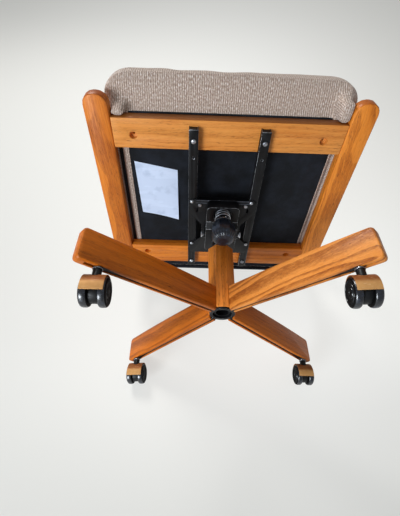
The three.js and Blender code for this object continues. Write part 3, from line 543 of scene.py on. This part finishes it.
# The base, the swivel and the tilt: each node's finish, and how far its edges are eased.
steel = {
    "base_spider": (enamel, 0.3),
    "swivel_pan": (wornEnamel, 0.5),
    "tilt_plate": (wornEnamel, 0.45),
    "seat_channel_left": (wornEnamel, 0.45),
    "seat_channel_right": (wornEnamel, 0.45),
    "tilt_pin": (zinc, 0.5),
    "tension_bolt": (darkSteel, 0.3),
    "spring_washer": (zinc, 0.3),
    "lower_bush": (nylonBlack, 0.3),
    "upper_bush": (nylonBlack, 0.3),
    "back_board": (cambric, 1.5),  # its cover is black cloth
}
for node, (finish, ease) in steel.items():
    easedCopy(node, finish, ease)
nodes["seat_base"].data.materials.clear()
nodes["seat_base"].data.materials.append(plywood)

spindleFoot = {"wall": 2.4, "deep": 46}


# The spindle is a tube, and its open foot is the dark hole in the hub.
def makeSpindle(s):
    bm = nodeMesh("spindle")
    foot = min(bm.faces, key=lambda face: face.calc_center_median().z)
    bmesh.ops.inset_region(bm, faces=[foot], thickness=s["wall"] * mm)
    made = bmesh.ops.extrude_face_region(bm, geom=[foot])["geom"]
    bmesh.ops.delete(bm, geom=[foot], context="FACES")
    bmesh.ops.translate(
        bm, vec=(0, 0, s["deep"] * mm), verts=[v for v in made if isinstance(v, bmesh.types.BMVert)]
    )
    addPiece("spindle_tube", bm, "swivel", darkSteel, ["spindle"])


makeSpindle(spindleFoot)

# Rivets and hex heads under the tilt plate, on its underside in the seat frame.
fixings = {
    "underside": -19.7,  # of the plate
    "rivets": [(-73, -101), (66, -101), (-72, 37), (72, 37)],
    "bolts": [(-54, -92), (54, -92)],
    "dome": [(0, -2.4), (2.2, -2.1), (3.9, -1.1), (4.6, 0), (4.6, 0.2), (0, 0.2)],
    "beads": [-105.3, -98.2],
    "bead": [(0, -63), (0.9, -62.4), (1.2, -61), (1.2, 61), (0.9, 62.4), (0, 63)],
    "plug": {"x": 72, "y": -270.6, "z": -7.2, "size": (14.6, 5, 13.2), "ease": 1.2},
    "hex": [(0, -2.8), (3.4, -2.8, 0.5), (4.4, -2.4), (4.4, 0.2), (0, 0.2)],
}


def makeFixings(s):
    def heads(outline, places, steps):
        return joined(*[
            spun(outline, steps, seatMatrix @ placed(x, y, s["underside"])) for x, y in places
        ])
    addPiece("plate_rivets", heads(s["dome"], s["rivets"], 24), "seat", zinc)
    addPiece("plate_bolts", heads(s["hex"], s["bolts"], 6), "seat", zinc)
    rods = [
        spun(s["bead"], 12, seatMatrix @ placed(0, y, s["underside"]) @ turned(90, "Y"))
        for y in s["beads"]
    ]
    # the beads carry a painted highlight
    addPiece("plate_beads", joined(*rods), "seat", beadHighlightEnamel)
    plug = s["plug"]
    for side, sign in (("left", -1), ("right", 1)):
        spot = seatMatrix @ placed(sign * plug["x"], plug["y"], plug["z"])
        bm = bmesh.new()
        addBlock(bm, spot, plug["size"])
        bevelled(bm, bm.edges[:], plug["ease"], 3)
        addPiece("channel_plug_" + side, bm, "seat", nylonBlack)


makeFixings(fixings)

# Pan head screws that hold the channels to the rails, each with a cross recess.
panScrew = {
    "outline": [
        (0, 1.2), (0.9, 1.1), (2.1, 0.1), (3.4, 0.35), (4.6, 1.1), (5.2, 2.3), (5.2, 3),
        (2.3, 3), (2.3, 30), (1.2, 34), (0, 35),
    ],
    "recess": 2.1,
    "arms": (1.25, 0.7),  # how far the recess reaches, and what it loses between its arms
    "headDrop": 17.5,  # from the screw's middle
}


def makeScrews(s):
    for end in ("front", "rear"):
        for side in ("left", "right"):
            node = f"channel_screw_{end}_{side}"
            low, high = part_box(node)
            foot = seatMatrix.inverted() @ ((low + high) / 2) - Vector((0, 0, s["headDrop"] * mm))
            bm = spun(s["outline"], 24)
            for vert in bm.verts:
                if abs(vert.co.xy.length - s["recess"] * mm) < 1e-5:
                    between = abs(math.sin(2 * math.atan2(vert.co.y, vert.co.x)))
                    vert.co.xy *= s["arms"][0] - s["arms"][1] * between
            bmesh.ops.transform(bm, matrix=seatMatrix @ Matrix.Translation(foot), verts=bm.verts)
            addPiece(node + "_cross", bm, "seat", zinc, [node])


makeScrews(panScrew)


# The tension spring and its knob
spring = {
    "radius": 16.2,
    "wire": 2.05,
    "turns": 3.6,
    "stepsEach": 30,
    "top": 0.9,  # its taper, as shares of the radius
    "bottom": 1.08,
    "clear": 1.6,  # above the washer, which rises as the knob turns
    "keep": 0.527,  # of its length when the seat is tilted back
}


def makeSpring(s):
    low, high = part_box("tension_spring")
    middle = (low + high) / 2
    rise = (high.z - low.z) / mm - 2 * s["wire"] - s["clear"]
    bm = bmesh.new()
    across = placed(middle.x / mm + s["radius"], middle.y / mm, low.z / mm + s["wire"] + s["clear"])
    bmesh.ops.create_circle(
        bm, segments=12, radius=s["wire"] * mm, cap_ends=True, matrix=across @ turned(90, "X")
    )
    steps = round(s["turns"] * s["stepsEach"])
    bmesh.ops.spin(
        bm, geom=bm.verts[:] + bm.edges[:] + bm.faces[:], cent=(middle.x, middle.y, 0),
        axis=(0, 0, 1), dvec=(0, 0, rise * mm / steps), angle=2 * math.pi * s["turns"], steps=steps,
    )
    bmesh.ops.remove_doubles(bm, verts=bm.verts, dist=1e-6)
    bmesh.ops.holes_fill(bm, edges=bm.edges, sides=12)
    for vert in bm.verts:
        share = (vert.co.z - low.z) / (high.z - low.z)
        wide = s["bottom"] + (s["top"] - s["bottom"]) * share
        vert.co.x = middle.x + (vert.co.x - middle.x) * wide
        vert.co.y = middle.y + (vert.co.y - middle.y) * wide
    bmesh.ops.recalc_face_normals(bm, faces=bm.faces)
    coil = addPiece(
        "tension_spring_coil", bm, "swivel", springSteel, ["tension_spring"], 60
    )
    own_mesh(coil)


makeSpring(spring)

knob = {
    "shares": [
        (0, 0.2), (0.012, 0.42), (0.05, 0.66), (0.12, 0.82), (0.22, 0.93), (0.33, 0.985), (0.44, 1),
        (0.56, 0.985), (0.68, 0.945), (0.8, 0.875), (0.9, 0.79), (0.965, 0.71), (1, 0.64),
    ],
    "wall": 4,
    "floor": 0.08,
    "flats": 8,
    "flatten": {"from": 0.1, "over": 0.25, "end": 1.02, "fade": 0.2},  # shares of its height
    "ribs": 24,
    "ribDepth": 0.05,
    "ribTop": 0.3,
}


def makeKnob(s):
    low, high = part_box("tension_knob")
    radius, height = (high.x - low.x) / 2 / mm, (high.z - low.z) / mm
    outside = [(share * radius, up * height) for up, share in s["shares"]]
    bore = outside[-1][0] - s["wall"]
    inside = [(bore, height), (bore, height * s["floor"]), (0, height * s["floor"])]
    bm = spun([(0, 0)] + outside + inside, 144)
    side, level = 2 * math.pi / s["flats"], s["flatten"]
    for vert in bm.verts:
        up = vert.co.z / mm / height
        angle = math.atan2(vert.co.y, vert.co.x)
        if vert.co.xy.length / mm > bore + 0.5 or up < s["floor"] - 0.01:
            off = (angle + side / 2) % side - side / 2
            flat = math.cos(side / 2) / math.cos(off)
            share = min(1, max(0, (up - level["from"]) / level["over"]))
            share *= min(1, (level["end"] - up) / level["fade"])
            vert.co.xy *= 1 + (flat - 1) * share
            if up < s["ribTop"]:
                vert.co.xy *= 1 - s["ribDepth"] * (0.5 - 0.5 * math.cos(s["ribs"] * angle))
    centre = (low + high) / 2
    bmesh.ops.translate(bm, vec=(centre.x, centre.y, low.z), verts=bm.verts)
    name = "tension_knob_flat_sided"
    addPiece(name, bm, "knob", knobSheenBlack, ["tension_knob"], 12)


makeKnob(knob)
print("mechanism made")


# Casters
caster = {
    "wheel": [
        (0, 3.2), (4.3, 3.2), (4.3, -6.05), (9.6, -6.05), (10.2, -5.2), (17.6, -5.2), (18.6, -6.05),
        (25, -6.05, 4.2), (25, 7.9, 5), (18.8, 7.9, 0.3), (18.5, 6.9), (17.4, 6.9), (17, 7.7, 0.3),
        (15.8, 7.5), (12.6, 6.5), (9.9, 6.3), (9.4, 7.4, 0.4), (6, 7.8), (2.6, 7.85),
        (2.2, 7.2), (0, 7.1),
    ],
    "faceOn": 0.7,  # how far a face looks outwards to be the wheel's side
    "lip": {"radius": 1.0, "half": 18.8, "angle": 109, "reach": 27.3},  # seen from the axle
    "widen": 1.09,
    "ring": [(7.6, 0), (8.7, 0, 0.4), (8.7, 1.8, 0.4), (7.6, 1.8), (7.6, 0)],
    "ringDrop": 2.6,
}


def makeCasters(s):
    for place in legs:
        body = "caster_" + place
        easedCopy("caster_fork_" + place, forkBlack, 0.4)
        easedCopy("caster_stem_" + place, zinc, 0.2)
        hood = easedCopy("caster_hood_" + place, gilt, 0.35, 50, 3)
        widened(hood, place, s["widen"])
        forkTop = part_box("caster_fork_" + place)[1].z / mm
        stemLow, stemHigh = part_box("caster_stem_" + place)
        stem = (stemLow + stemHigh) / 2
        seat = placed(stem.x / mm, stem.y / mm, forkTop - s["ringDrop"])
        ring = spun(s["ring"], 32, seat)
        addPiece("caster_ring_" + place, ring, body, zinc)
        for side, sign in (("left", -1), ("right", 1)):
            node = f"wheel_{place}_{side}"
            joint = joints[f"wheel_spin_{place}_{side}"]
            outward = Vector(joint["axis"]) * sign
            face = Vector((0, 0, 1)).rotation_difference(outward).to_matrix().to_4x4()
            bm = spun(s["wheel"], 56, Matrix.Translation(joint["pos_m"]) @ face)
            wheel = addPiece(node + "_tread", bm, node, wheelSheenBlack, [node], 30)
            # the wheel's sides take the darker copy, painted shade; the treads keep the bluish one,
            # painted reflection
            wheel.data.materials.append(wheelShadedSide)
            for flat in wheel.data.polygons:
                flat.material_index = int(abs(flat.normal.dot(outward)) > s["faceOn"])
        makeHoodRim(place, s["lip"])
    print("casters made")


def casterMiddle(place):
    ends = [Vector(joints[f"wheel_spin_{place}_{side}"]["pos_m"]) for side in ("left", "right")]
    return (ends[0] + ends[1]) / 2, Vector(joints[f"wheel_spin_{place}_right"]["axis"])


# The hood reaches over both wheels.
def widened(piece, place, share):
    middle, across = casterMiddle(place)
    there, back = Matrix.Translation(middle), Matrix.Translation(-middle)
    piece.data.transform(there @ Matrix.Scale(share, 4, across) @ back)


# A rolled lip along the hood's low front edge.
def makeHoodRim(place, s):
    middle, across = casterMiddle(place)
    radius, half = s["radius"], s["half"]
    upward = Vector((0, 0, 1))
    angle = math.radians(s["angle"])
    way = across.cross(upward) * math.sin(angle) + upward * math.cos(angle)
    edge = middle + way * s["reach"] * mm
    face = upward.rotation_difference(across).to_matrix().to_4x4()
    outline = [(0, -half), (radius, -half, 0.4), (radius, half, 0.4), (0, half)]
    rim = spun(outline, 20, Matrix.Translation(edge) @ face)
    addPiece("hood_rim_" + place, rim, "caster_" + place, gilt)


makeCasters(caster)


# Upholstery
sideBias = 1.2  # how much further to the side a face must look to count as a side


# Every face is mapped flat, in metres: x and y, x and z, or y and z of the piece's own frame.
def mapCloth(piece, matrix):
    home = matrix.inverted()
    turn = home.to_3x3()
    mesh = piece.data
    layer = mesh.uv_layers.new(name="cloth")
    for face in mesh.polygons:
        n = turn @ face.normal
        side = abs(n.x) > max(abs(n.y), abs(n.z)) * sideBias
        flat = abs(n.z) > abs(n.y)
        for loop in face.loop_indices:
            p = home @ mesh.vertices[mesh.loops[loop].vertex_index].co
            layer.data[loop].uv = (p.y, p.z) if side else ((p.x, p.y) if flat else (p.x, p.z))


def remeshed(name, bm, voxel):
    mesh = bpy.data.meshes.new(name)
    bm.to_mesh(mesh)
    bm.free()
    piece = bpy.data.objects.new(name, mesh)
    scene.collection.objects.link(piece)
    remesh = piece.modifiers.new("remesh", "REMESH")
    remesh.mode, remesh.voxel_size = "VOXEL", voxel * mm
    shaped = bpy.data.meshes.new_from_object(
        piece.evaluated_get(bpy.context.evaluated_depsgraph_get())
    )
    piece.modifiers.clear()
    piece.data = shaped
    return piece


air = {
    "quality": 4,
    "mass": 0.25,
    "stiff": 12,
    "bending": 1.5,
    "pressure": 4,
    "frames": 20,
    "inward": 0.15,  # how much of a move into the pad is kept
}


# Blows a pad up as cloth; no point moves further than the cap, and some are held.
def inflate(piece, cap, free):
    cloth = piece.modifiers.new("cloth", "CLOTH")
    cloth.settings.quality = air["quality"]
    cloth.settings.mass = air["mass"]
    cloth.settings.tension_stiffness = cloth.settings.compression_stiffness = air["stiff"]
    cloth.settings.bending_stiffness = air["bending"]
    cloth.settings.use_pressure = True
    cloth.settings.uniform_pressure_force = air["pressure"]
    cloth.settings.effector_weights.gravity = 0
    cloth.point_cache.frame_start, cloth.point_cache.frame_end = 1, air["frames"]
    for step in range(1, air["frames"] + 1):
        scene.frame_set(step)
    full = piece.evaluated_get(bpy.context.evaluated_depsgraph_get()).data
    ends = [vert.co.copy() for vert in full.vertices]
    piece.modifiers.clear()
    scene.frame_set(1)
    for vert, end in zip(piece.data.vertices, ends):
        move = (end - vert.co) * free(vert.co)
        inward = min(0, move.dot(vert.normal))
        move -= vert.normal * inward * (1 - air["inward"])
        if move.length > cap * mm:
            move = move.normalized() * cap * mm
        vert.co += move


seatPad = {
    "half": 247,
    "front": -349,
    "rear": 119,
    "foot": 25.5,
    "top": 108,
    "corner": 44,
    "crown": 32,
    "edge": 9,
    "nose": {"from": -288.5, "reach": 64, "foot": 36, "rise": 30},  # its rounded underside
    "ear": {  # what hangs in front of the rail at each end: inner side, outer side, front
        "left": (209, 235.4, -300), "right": (214, 236, -327),
        "back": -287.6, "foot": 0.5, "top": 48, "ease": 4, "spare": (2, 4),
    },
    "voxel": 6,
    "cap": 9,
    "held": {"below": 32, "over": 30},  # height up to which the air moves nothing
    "smooth": {"times": 9, "above": 34},
    "dimple": {"depth": 0.7, "size": 60},
    "railTop": 24.8,
    "rail": {"behind": -280, "front": -287.4, "half": 235.8},  # what the ears keep clear of
    "well": (212.8, -270.8, 118.8, 38.2),  # half width, front, rear and roof over the plywood
    "gap": {  # beside the boards
        "left": 226, "right": 233, "behind": -284, "run": 6, "close": 238.5, "fade": 3,
        "lift": 14,
    },
    "widest": 251.5,
    "bulge": {  # before the arm posts
        "from": -286, "over": 26, "above": 30, "rise": 22, "left": 0.035, "right": 0.055,
        "forward": 5, "middle": -30,
    },
}
# Painted shadow: black strips for the shaded gaps under the cushion.
shadowStrips = {
    "side": {"inner": 227, "outer": 237, "front": -280, "rear": 117, "level": 36.5, "thick": 6},
    "front": {"deep": 7, "back": 3.9},  # behind the start of the cushion's nose
    "ease": 1,
}


# A block as large as the pad, its corners along one axis rounded, then the rims across it.
def padBlock(s, axis, steps, rims):
    bm = bmesh.new()
    size = (2 * s["half"], s["rear"] - s["front"], s["top"] - s["foot"])
    addBlock(bm, placed(0, (s["front"] + s["rear"]) / 2, (s["foot"] + s["top"]) / 2), size)
    along = [e for e in bm.edges if abs(e.verts[0].co[axis] - e.verts[1].co[axis]) > 0.01]
    bevelled(bm, along, s["corner"], steps)
    for level, radius, turns in rims:
        rim = [
            e for e in bm.edges
            if all(abs(v.co[axis] - level * mm) < 1e-5 for v in e.verts)
            and e.calc_face_angle() > 1
        ]
        bevelled(bm, rim, radius, turns)
    return bm


def makeSeatPad(s):
    bm = padBlock(s, 2, 7, ((s["top"], s["crown"], 6), (s["foot"], s["edge"], 2)))
    ear = s["ear"]
    for sign in (-1, 1):
        inner, outer, front = ear["right" if sign > 0 else "left"]
        size = (outer - inner, ear["back"] - front, ear["top"] - ear["foot"])
        middle = sign * (inner + outer) / 2
        spot = placed(middle, (front + ear["back"]) / 2, (ear["top"] + ear["foot"]) / 2)
        flap = bmesh.new()
        addBlock(flap, spot, size)
        bevelled(flap, flap.edges[:], ear["ease"], 2)
        bm = joined(bm, flap)
    piece = remeshed("seat_cushion_padded", bm, s["voxel"])
    held, smooth, lift = s["held"], s["smooth"], s["nose"]
    inflate(piece, s["cap"], lambda p: max(0, min(1, (p.z / mm - held["below"]) / held["over"])))
    for vert in piece.data.vertices:
        p = vert.co / mm
        ahead = (lift["from"] - p.y) / lift["reach"]
        inner, outer, front = ear["right" if p.x > 0 else "left"]
        aside, before = ear["spare"]
        hanging = inner - aside < abs(p.x) < outer + aside and p.y > front - before
        if ahead > 0 and not hanging:
            drop = math.sqrt(max(0, 1 - min(1, ahead) ** 2))
            p.z = max(p.z, lift["foot"] + lift["rise"] * (1 - drop))
        vert.co = p * mm
    soften(piece, smooth["times"], lambda p: p.z > smooth["above"] * mm)
    settle(piece, s)
    finishPad(piece, seatMatrix, ["seat_cushion"])


# Black strips under the cushion, one over the front rail and one beside each board: painted shadow,
# dark cloth put in gaps that are only in shade.
def makeShadowStrips(s, pad):
    side, front, nose = s["side"], s["front"], pad["nose"]
    middle = (nose["foot"] + pad["railTop"]) / 2
    blocks = [(
        (0, nose["from"] + front["back"], middle),
        (2 * pad["ear"]["left"][0], front["deep"], nose["foot"] - pad["railTop"]),
    )]
    for sign in (-1, 1):
        x = sign * (side["inner"] + side["outer"]) / 2
        blocks.append((
            (x, (side["front"] + side["rear"]) / 2, side["level"]),
            (side["outer"] - side["inner"], side["rear"] - side["front"], side["thick"]),
        ))
    strips = []
    for spot, size in blocks:
        strip = bmesh.new()
        addBlock(strip, seatMatrix @ placed(*spot), size)
        bevelled(strip, strip.edges[:], s["ease"], 2)
        strips.append(strip)
    piece = addPiece("cushion_painted_shadow_strips", joined(*strips), "seat", cambric, (), 60)


# Keeps the cushion out of the rails, the boards and the plywood, and clear of the posts.
def settle(piece, s):
    half, front, rear, roof = s["well"]
    rail, gap, bulge, dimple = s["rail"], s["gap"], s["bulge"], s["dimple"]
    for vert in piece.data.vertices:
        p = vert.co / mm
        p.z += dimple["depth"] * noise.noise(p / dimple["size"])
        side = abs(p.x)
        if p.z < s["railTop"] and p.y < rail["behind"]:
            p.y = min(p.y, rail["front"])
            p.x = math.copysign(min(side, rail["half"]), p.x)
        else:
            p.z = max(p.z, s["railTop"])
        if side < half and front < p.y < rear:
            p.z = max(p.z, roof)
        start = gap["right" if p.x > 0 else "left"]
        if side > start and p.y > gap["behind"]:
            left = max(0, gap["close"] + gap["fade"] - side) / gap["fade"]
            share = min(1, (side - start) / gap["run"], left)
            p.z = max(p.z, s["railTop"] + gap["lift"] * math.sqrt(1 - (1 - share) ** 2))
        p.x = max(-s["widest"], min(s["widest"], p.x))
        ahead = max(0, min(1, (bulge["from"] - p.y) / bulge["over"]))
        ahead *= min(1, max(0, p.z - bulge["above"]) / bulge["rise"])
        p.y -= ahead * bulge["forward"] * (1 - ((p.x - bulge["middle"]) / s["half"]) ** 2)
        p.x *= 1 + bulge["right" if p.x > 0 else "left"] * ahead
        vert.co = p * mm
    piece.data.transform(seatMatrix)


# Smooths the chosen points.
def soften(piece, times, chosen):
    bm = bmesh.new()
    bm.from_mesh(piece.data)
    verts = [v for v in bm.verts if chosen(v.co)]
    for _ in range(times):
        bmesh.ops.smooth_vert(
            bm, verts=verts, factor=0.5, use_axis_x=True, use_axis_y=True, use_axis_z=True
        )
    bm.to_mesh(piece.data)
    bm.free()


def finishPad(piece, matrix, replaced):
    piece.data.shade_smooth()
    piece.data.materials.append(chenille)
    mapCloth(piece, matrix)
    smooth = piece.modifiers.new("subdivision", "SUBSURF")
    smooth.levels = smooth.render_levels = 1
    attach(piece, "seat")
    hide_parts(*replaced)


makeSeatPad(seatPad)
makeShadowStrips(shadowStrips, seatPad)

backPad = {
    "half": 235,
    "front": 2,
    "rear": 41.5,
    "foot": 38,
    "top": 524,
    "corner": 26,
    "round": 15,
    "voxel": 6,
    "cap": 10,
    "held": {"behind": 38, "over": 20},  # how far back the air moves nothing
    "smooth": {"times": 3, "before": 36},
    "dimple": {"depth": 0.8, "size": 45},
    "sag": 1.5,  # below its foot
    "under": {"slope": 0.75, "height": 12},  # the faces that count as its underside
}


def makeBackPad(s):
    held, smooth, dimple, under = s["held"], s["smooth"], s["dimple"], s["under"]
    bm = padBlock(s, 1, 5, ((s["front"], s["round"], 5),))
    piece = remeshed("back_cushion_padded", bm, s["voxel"])
    inflate(piece, s["cap"], lambda p: max(0, min(1, (held["behind"] - p.y / mm) / held["over"])))
    soften(piece, smooth["times"], lambda p: p.y < smooth["before"] * mm)
    for vert in piece.data.vertices:
        p = vert.co / mm
        p.y = min(p.y, s["rear"]) + dimple["depth"] * noise.noise(p / dimple["size"])
        p.z = max(p.z, s["foot"] - s["sag"])
        vert.co = p * mm
    piece.data.transform(backMatrix)
    finishPad(piece, backMatrix, ["back_cushion"])
    # its underside is covered with the black cloth
    piece.data.materials.append(cambric)
    down = backMatrix.to_3x3() @ Vector((0, 0, -1))
    home = backMatrix.inverted()
    for face in piece.data.polygons:
        low = (home @ face.center).z < (s["foot"] + under["height"]) * mm
        if low and face.normal.dot(down) > under["slope"]:
            face.material_index = 1


makeBackPad(backPad)
print("cushions made")

# The cover cloth, stapled over the plywood between the rails, and its plain tag.
coverCloth = {
    "left": -213,
    "right": 225.5,
    "front": -269,
    "rear": 117,
    "under": 24.6,
    "border": 60,  # how far in from its edges the sag grows
    "rise": 0.3,
    "sag": 1.6,
    "fold": 1.4,
    "folds": {"right": (176, -0.06, 6), "left": (-197, -0.03, 5)},  # place, slope and width
    "thick": 0.5,
}


def makeCover(s):
    bm = bmesh.new()
    size = (s["right"] - s["left"], s["rear"] - s["front"])
    spot = placed((s["left"] + s["right"]) / 2, (s["front"] + s["rear"]) / 2, s["under"])
    spot = spot @ Matrix.Diagonal((*size, 1, 1))
    bmesh.ops.create_grid(bm, x_segments=110, y_segments=100, size=0.5 * mm, matrix=spot)

    def ridge(p, side):
        place, slope, width = s["folds"][side]
        return math.exp(-(((p.x - place - slope * p.y) / width) ** 2))

    for vert in bm.verts:
        p = vert.co / mm
        inside = min(s["right"] - p.x, p.x - s["left"], p.y - s["front"], s["rear"] - p.y)
        edge = min(1, inside / s["border"])
        pull = noise.noise(Vector((p.x / 60, p.y / 20, 3)))
        pull += 0.6 * noise.noise(Vector((p.x / 14, p.y / 44, 7)))
        fold = ridge(p, "right") * (0.6 + 0.4 * math.sin(p.y / 31))
        fold += ridge(p, "left") * max(0, math.sin(p.y / 70))
        sag = s["sag"] * edge * (0.4 + 0.6 * abs(pull)) + s["fold"] * fold * min(1, edge * 6)
        vert.co.z += mm * (s["rise"] - sag)
    bmesh.ops.solidify(bm, geom=bm.faces[:], thickness=s["thick"] * mm)
    bmesh.ops.transform(bm, matrix=seatMatrix, verts=bm.verts)
    cloth = addPiece("cover_cloth", bm, "seat", cambric, ["dust_cover"], 60)
    size[0] * mm
    size[1] * mm


makeCover(coverCloth)

tag = {
    "corners": [(-205, -177, 23.2), (-108, -157, 23.0), (-107, -14, 17.5), (-198, -35, 19.5)],
    "curl": 5,
    "thick": 0.25,
}


def makeTag(s):
    bm = bmesh.new()
    bmesh.ops.create_grid(bm, x_segments=24, y_segments=34, size=0.5)
    a, b, c, d = [Vector(corner) for corner in s["corners"]]
    for vert in bm.verts:
        u, v = vert.co.x + 0.5, vert.co.y + 0.5
        p = a.lerp(b, u).lerp(d.lerp(c, u), v)
        wave = math.sin(math.pi * v) * (0.5 + 0.5 * noise.noise(Vector((u * 2, v * 3, 1))))
        p.z -= s["curl"] * (0.35 * wave + 0.5 * v * v * (1 - math.sin(math.pi * u)))
        vert.co = p * mm
    bmesh.ops.recalc_face_normals(bm, faces=bm.faces)
    bmesh.ops.solidify(bm, geom=bm.faces[:], thickness=s["thick"] * mm)
    bmesh.ops.transform(bm, matrix=seatMatrix, verts=bm.verts)
    sheet = addPiece("plain_tag", bm, "seat", paper, (), 60)


makeTag(tag)
print("cover and tag made")


# Floor, wall and light
stage = {
    "glow": (190, 130),  # x and z of the brightest place on the wall
    "fall": {"side": 0.86, "down": 1.85, "up": 0.29, "spread": 0.5},  # how it darkens
    "bright": "fcfcf9",
    "dim": "acaca8",
    "paint": "f4f4f0",
    "strength": 1.27,
    "shade": 0.4,  # how much of the wall is lit by the lamps, and so takes shadows
    "behind": 4,  # from the rear wheels to the wall's foot
    "foot": 20,  # height of its foot
    "clear": 30,  # by which it leans less than the back
}


# A pale panel that shows only from its front and lets light through from behind.
def panel(name, matrix, s, glossy):
    bm = bmesh.new()
    bmesh.ops.create_grid(bm, x_segments=1, y_segments=1, size=12)
    mesh = bpy.data.meshes.new(name)
    bmesh.ops.transform(bm, matrix=matrix, verts=bm.verts)
    bm.to_mesh(mesh)
    bm.free()
    board = bpy.data.objects.new(name, mesh)
    scene.collection.objects.link(board)
    material, place = newFinish(name, Roughness=0.9, Specular_IOR_Level=0.0)
    rise = place.part(2) - s["glow"][1] * mm
    above = rise.maths("MAXIMUM", rise, 0)
    wide = above * s["fall"]["spread"] + 1
    side = (place.part(0) - s["glow"][0] * mm) / wide * s["fall"]["side"]
    up = rise.maths("SQRT", above) * s["fall"]["up"]
    away = up + rise.maths("MINIMUM", rise, 0) * s["fall"]["down"]
    far = side.maths("SQRT", side * side + away * away)
    tone = far.within(-0.25, 1.15).mix(paint(s["bright"]), paint(s["dim"]))
    tree = material.node_tree
    tree.nodes["Principled BSDF"].inputs["Base Color"].default_value = paint(s["paint"])
    shader = Field(tree, tree.nodes["Principled BSDF"].outputs[0])
    glow = place.node("Emission", None, {"Color": tone, "Strength": s["strength"]})
    lit = place.node("MixShader", None, {0: s["shade"], 1: glow, 2: shader})
    back = place.node("NewGeometry", None, None, "Backfacing")
    mixed = place.node("MixShader", None, {0: back, 1: lit, 2: place.node("BsdfTransparent")})
    tree.links.new(mixed.socket, tree.nodes["Material Output"].inputs[0])
    mesh.materials.append(material)
    board.visible_diffuse = board.visible_shadow = False
    board.visible_glossy = board.visible_transmission = glossy


def makeStage(s):
    sides = ("left", "right")
    low = max(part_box(f"wheel_rear_{a}_{b}")[1].y for a in sides for b in sides)
    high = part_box("back_post_left")[1]
    lean = math.degrees(math.atan2(high.y - low, high.z - s["clear"] * mm))
    foot = Matrix.Translation((0, low + s["behind"] * mm, s["foot"] * mm))
    panel("wall", foot @ turned(90 - lean, "X"), s, True)
    panel("ground", Matrix.Identity(4), s, False)


makeStage(stage)

lamps = {
    "window": {
        "from": (-0.56, -0.29, -0.77), "away": 3300, "size": 1.2, "power": 104,
        "color": (0.86, 0.93, 1),
    },
    "ceiling": {
        "from": (-0.42, -0.66, 0.62), "away": 3000, "size": 0.9, "power": 58,
        "color": (1, 0.98, 0.95),
    },
}
lampAim = Vector((0, 0, 300))
worldLight = {"color": (0.95, 0.975, 1, 1), "strength": 0.36}


def makeLamp(name, s):
    data = bpy.data.lights.new(name, "AREA")
    data.size, data.energy, data.color = s["size"], s["power"], s["color"]
    lamp = bpy.data.objects.new(name, data)
    scene.collection.objects.link(lamp)
    way = Vector(s["from"]).normalized()
    lamp.location = (lampAim + way * s["away"]) * mm
    lamp.rotation_euler = (-way).to_track_quat("-Z", "Y").to_euler()


for name, settings in lamps.items():
    makeLamp(name, settings)
scene.world = bpy.data.worlds.new("world")
scene.world.use_nodes = True
sky = scene.world.node_tree.nodes["Background"]
sky.inputs["Color"].default_value = worldLight["color"]
sky.inputs["Strength"].default_value = worldLight["strength"]
scene.view_settings.view_transform = "Standard"
print("stage and light made")
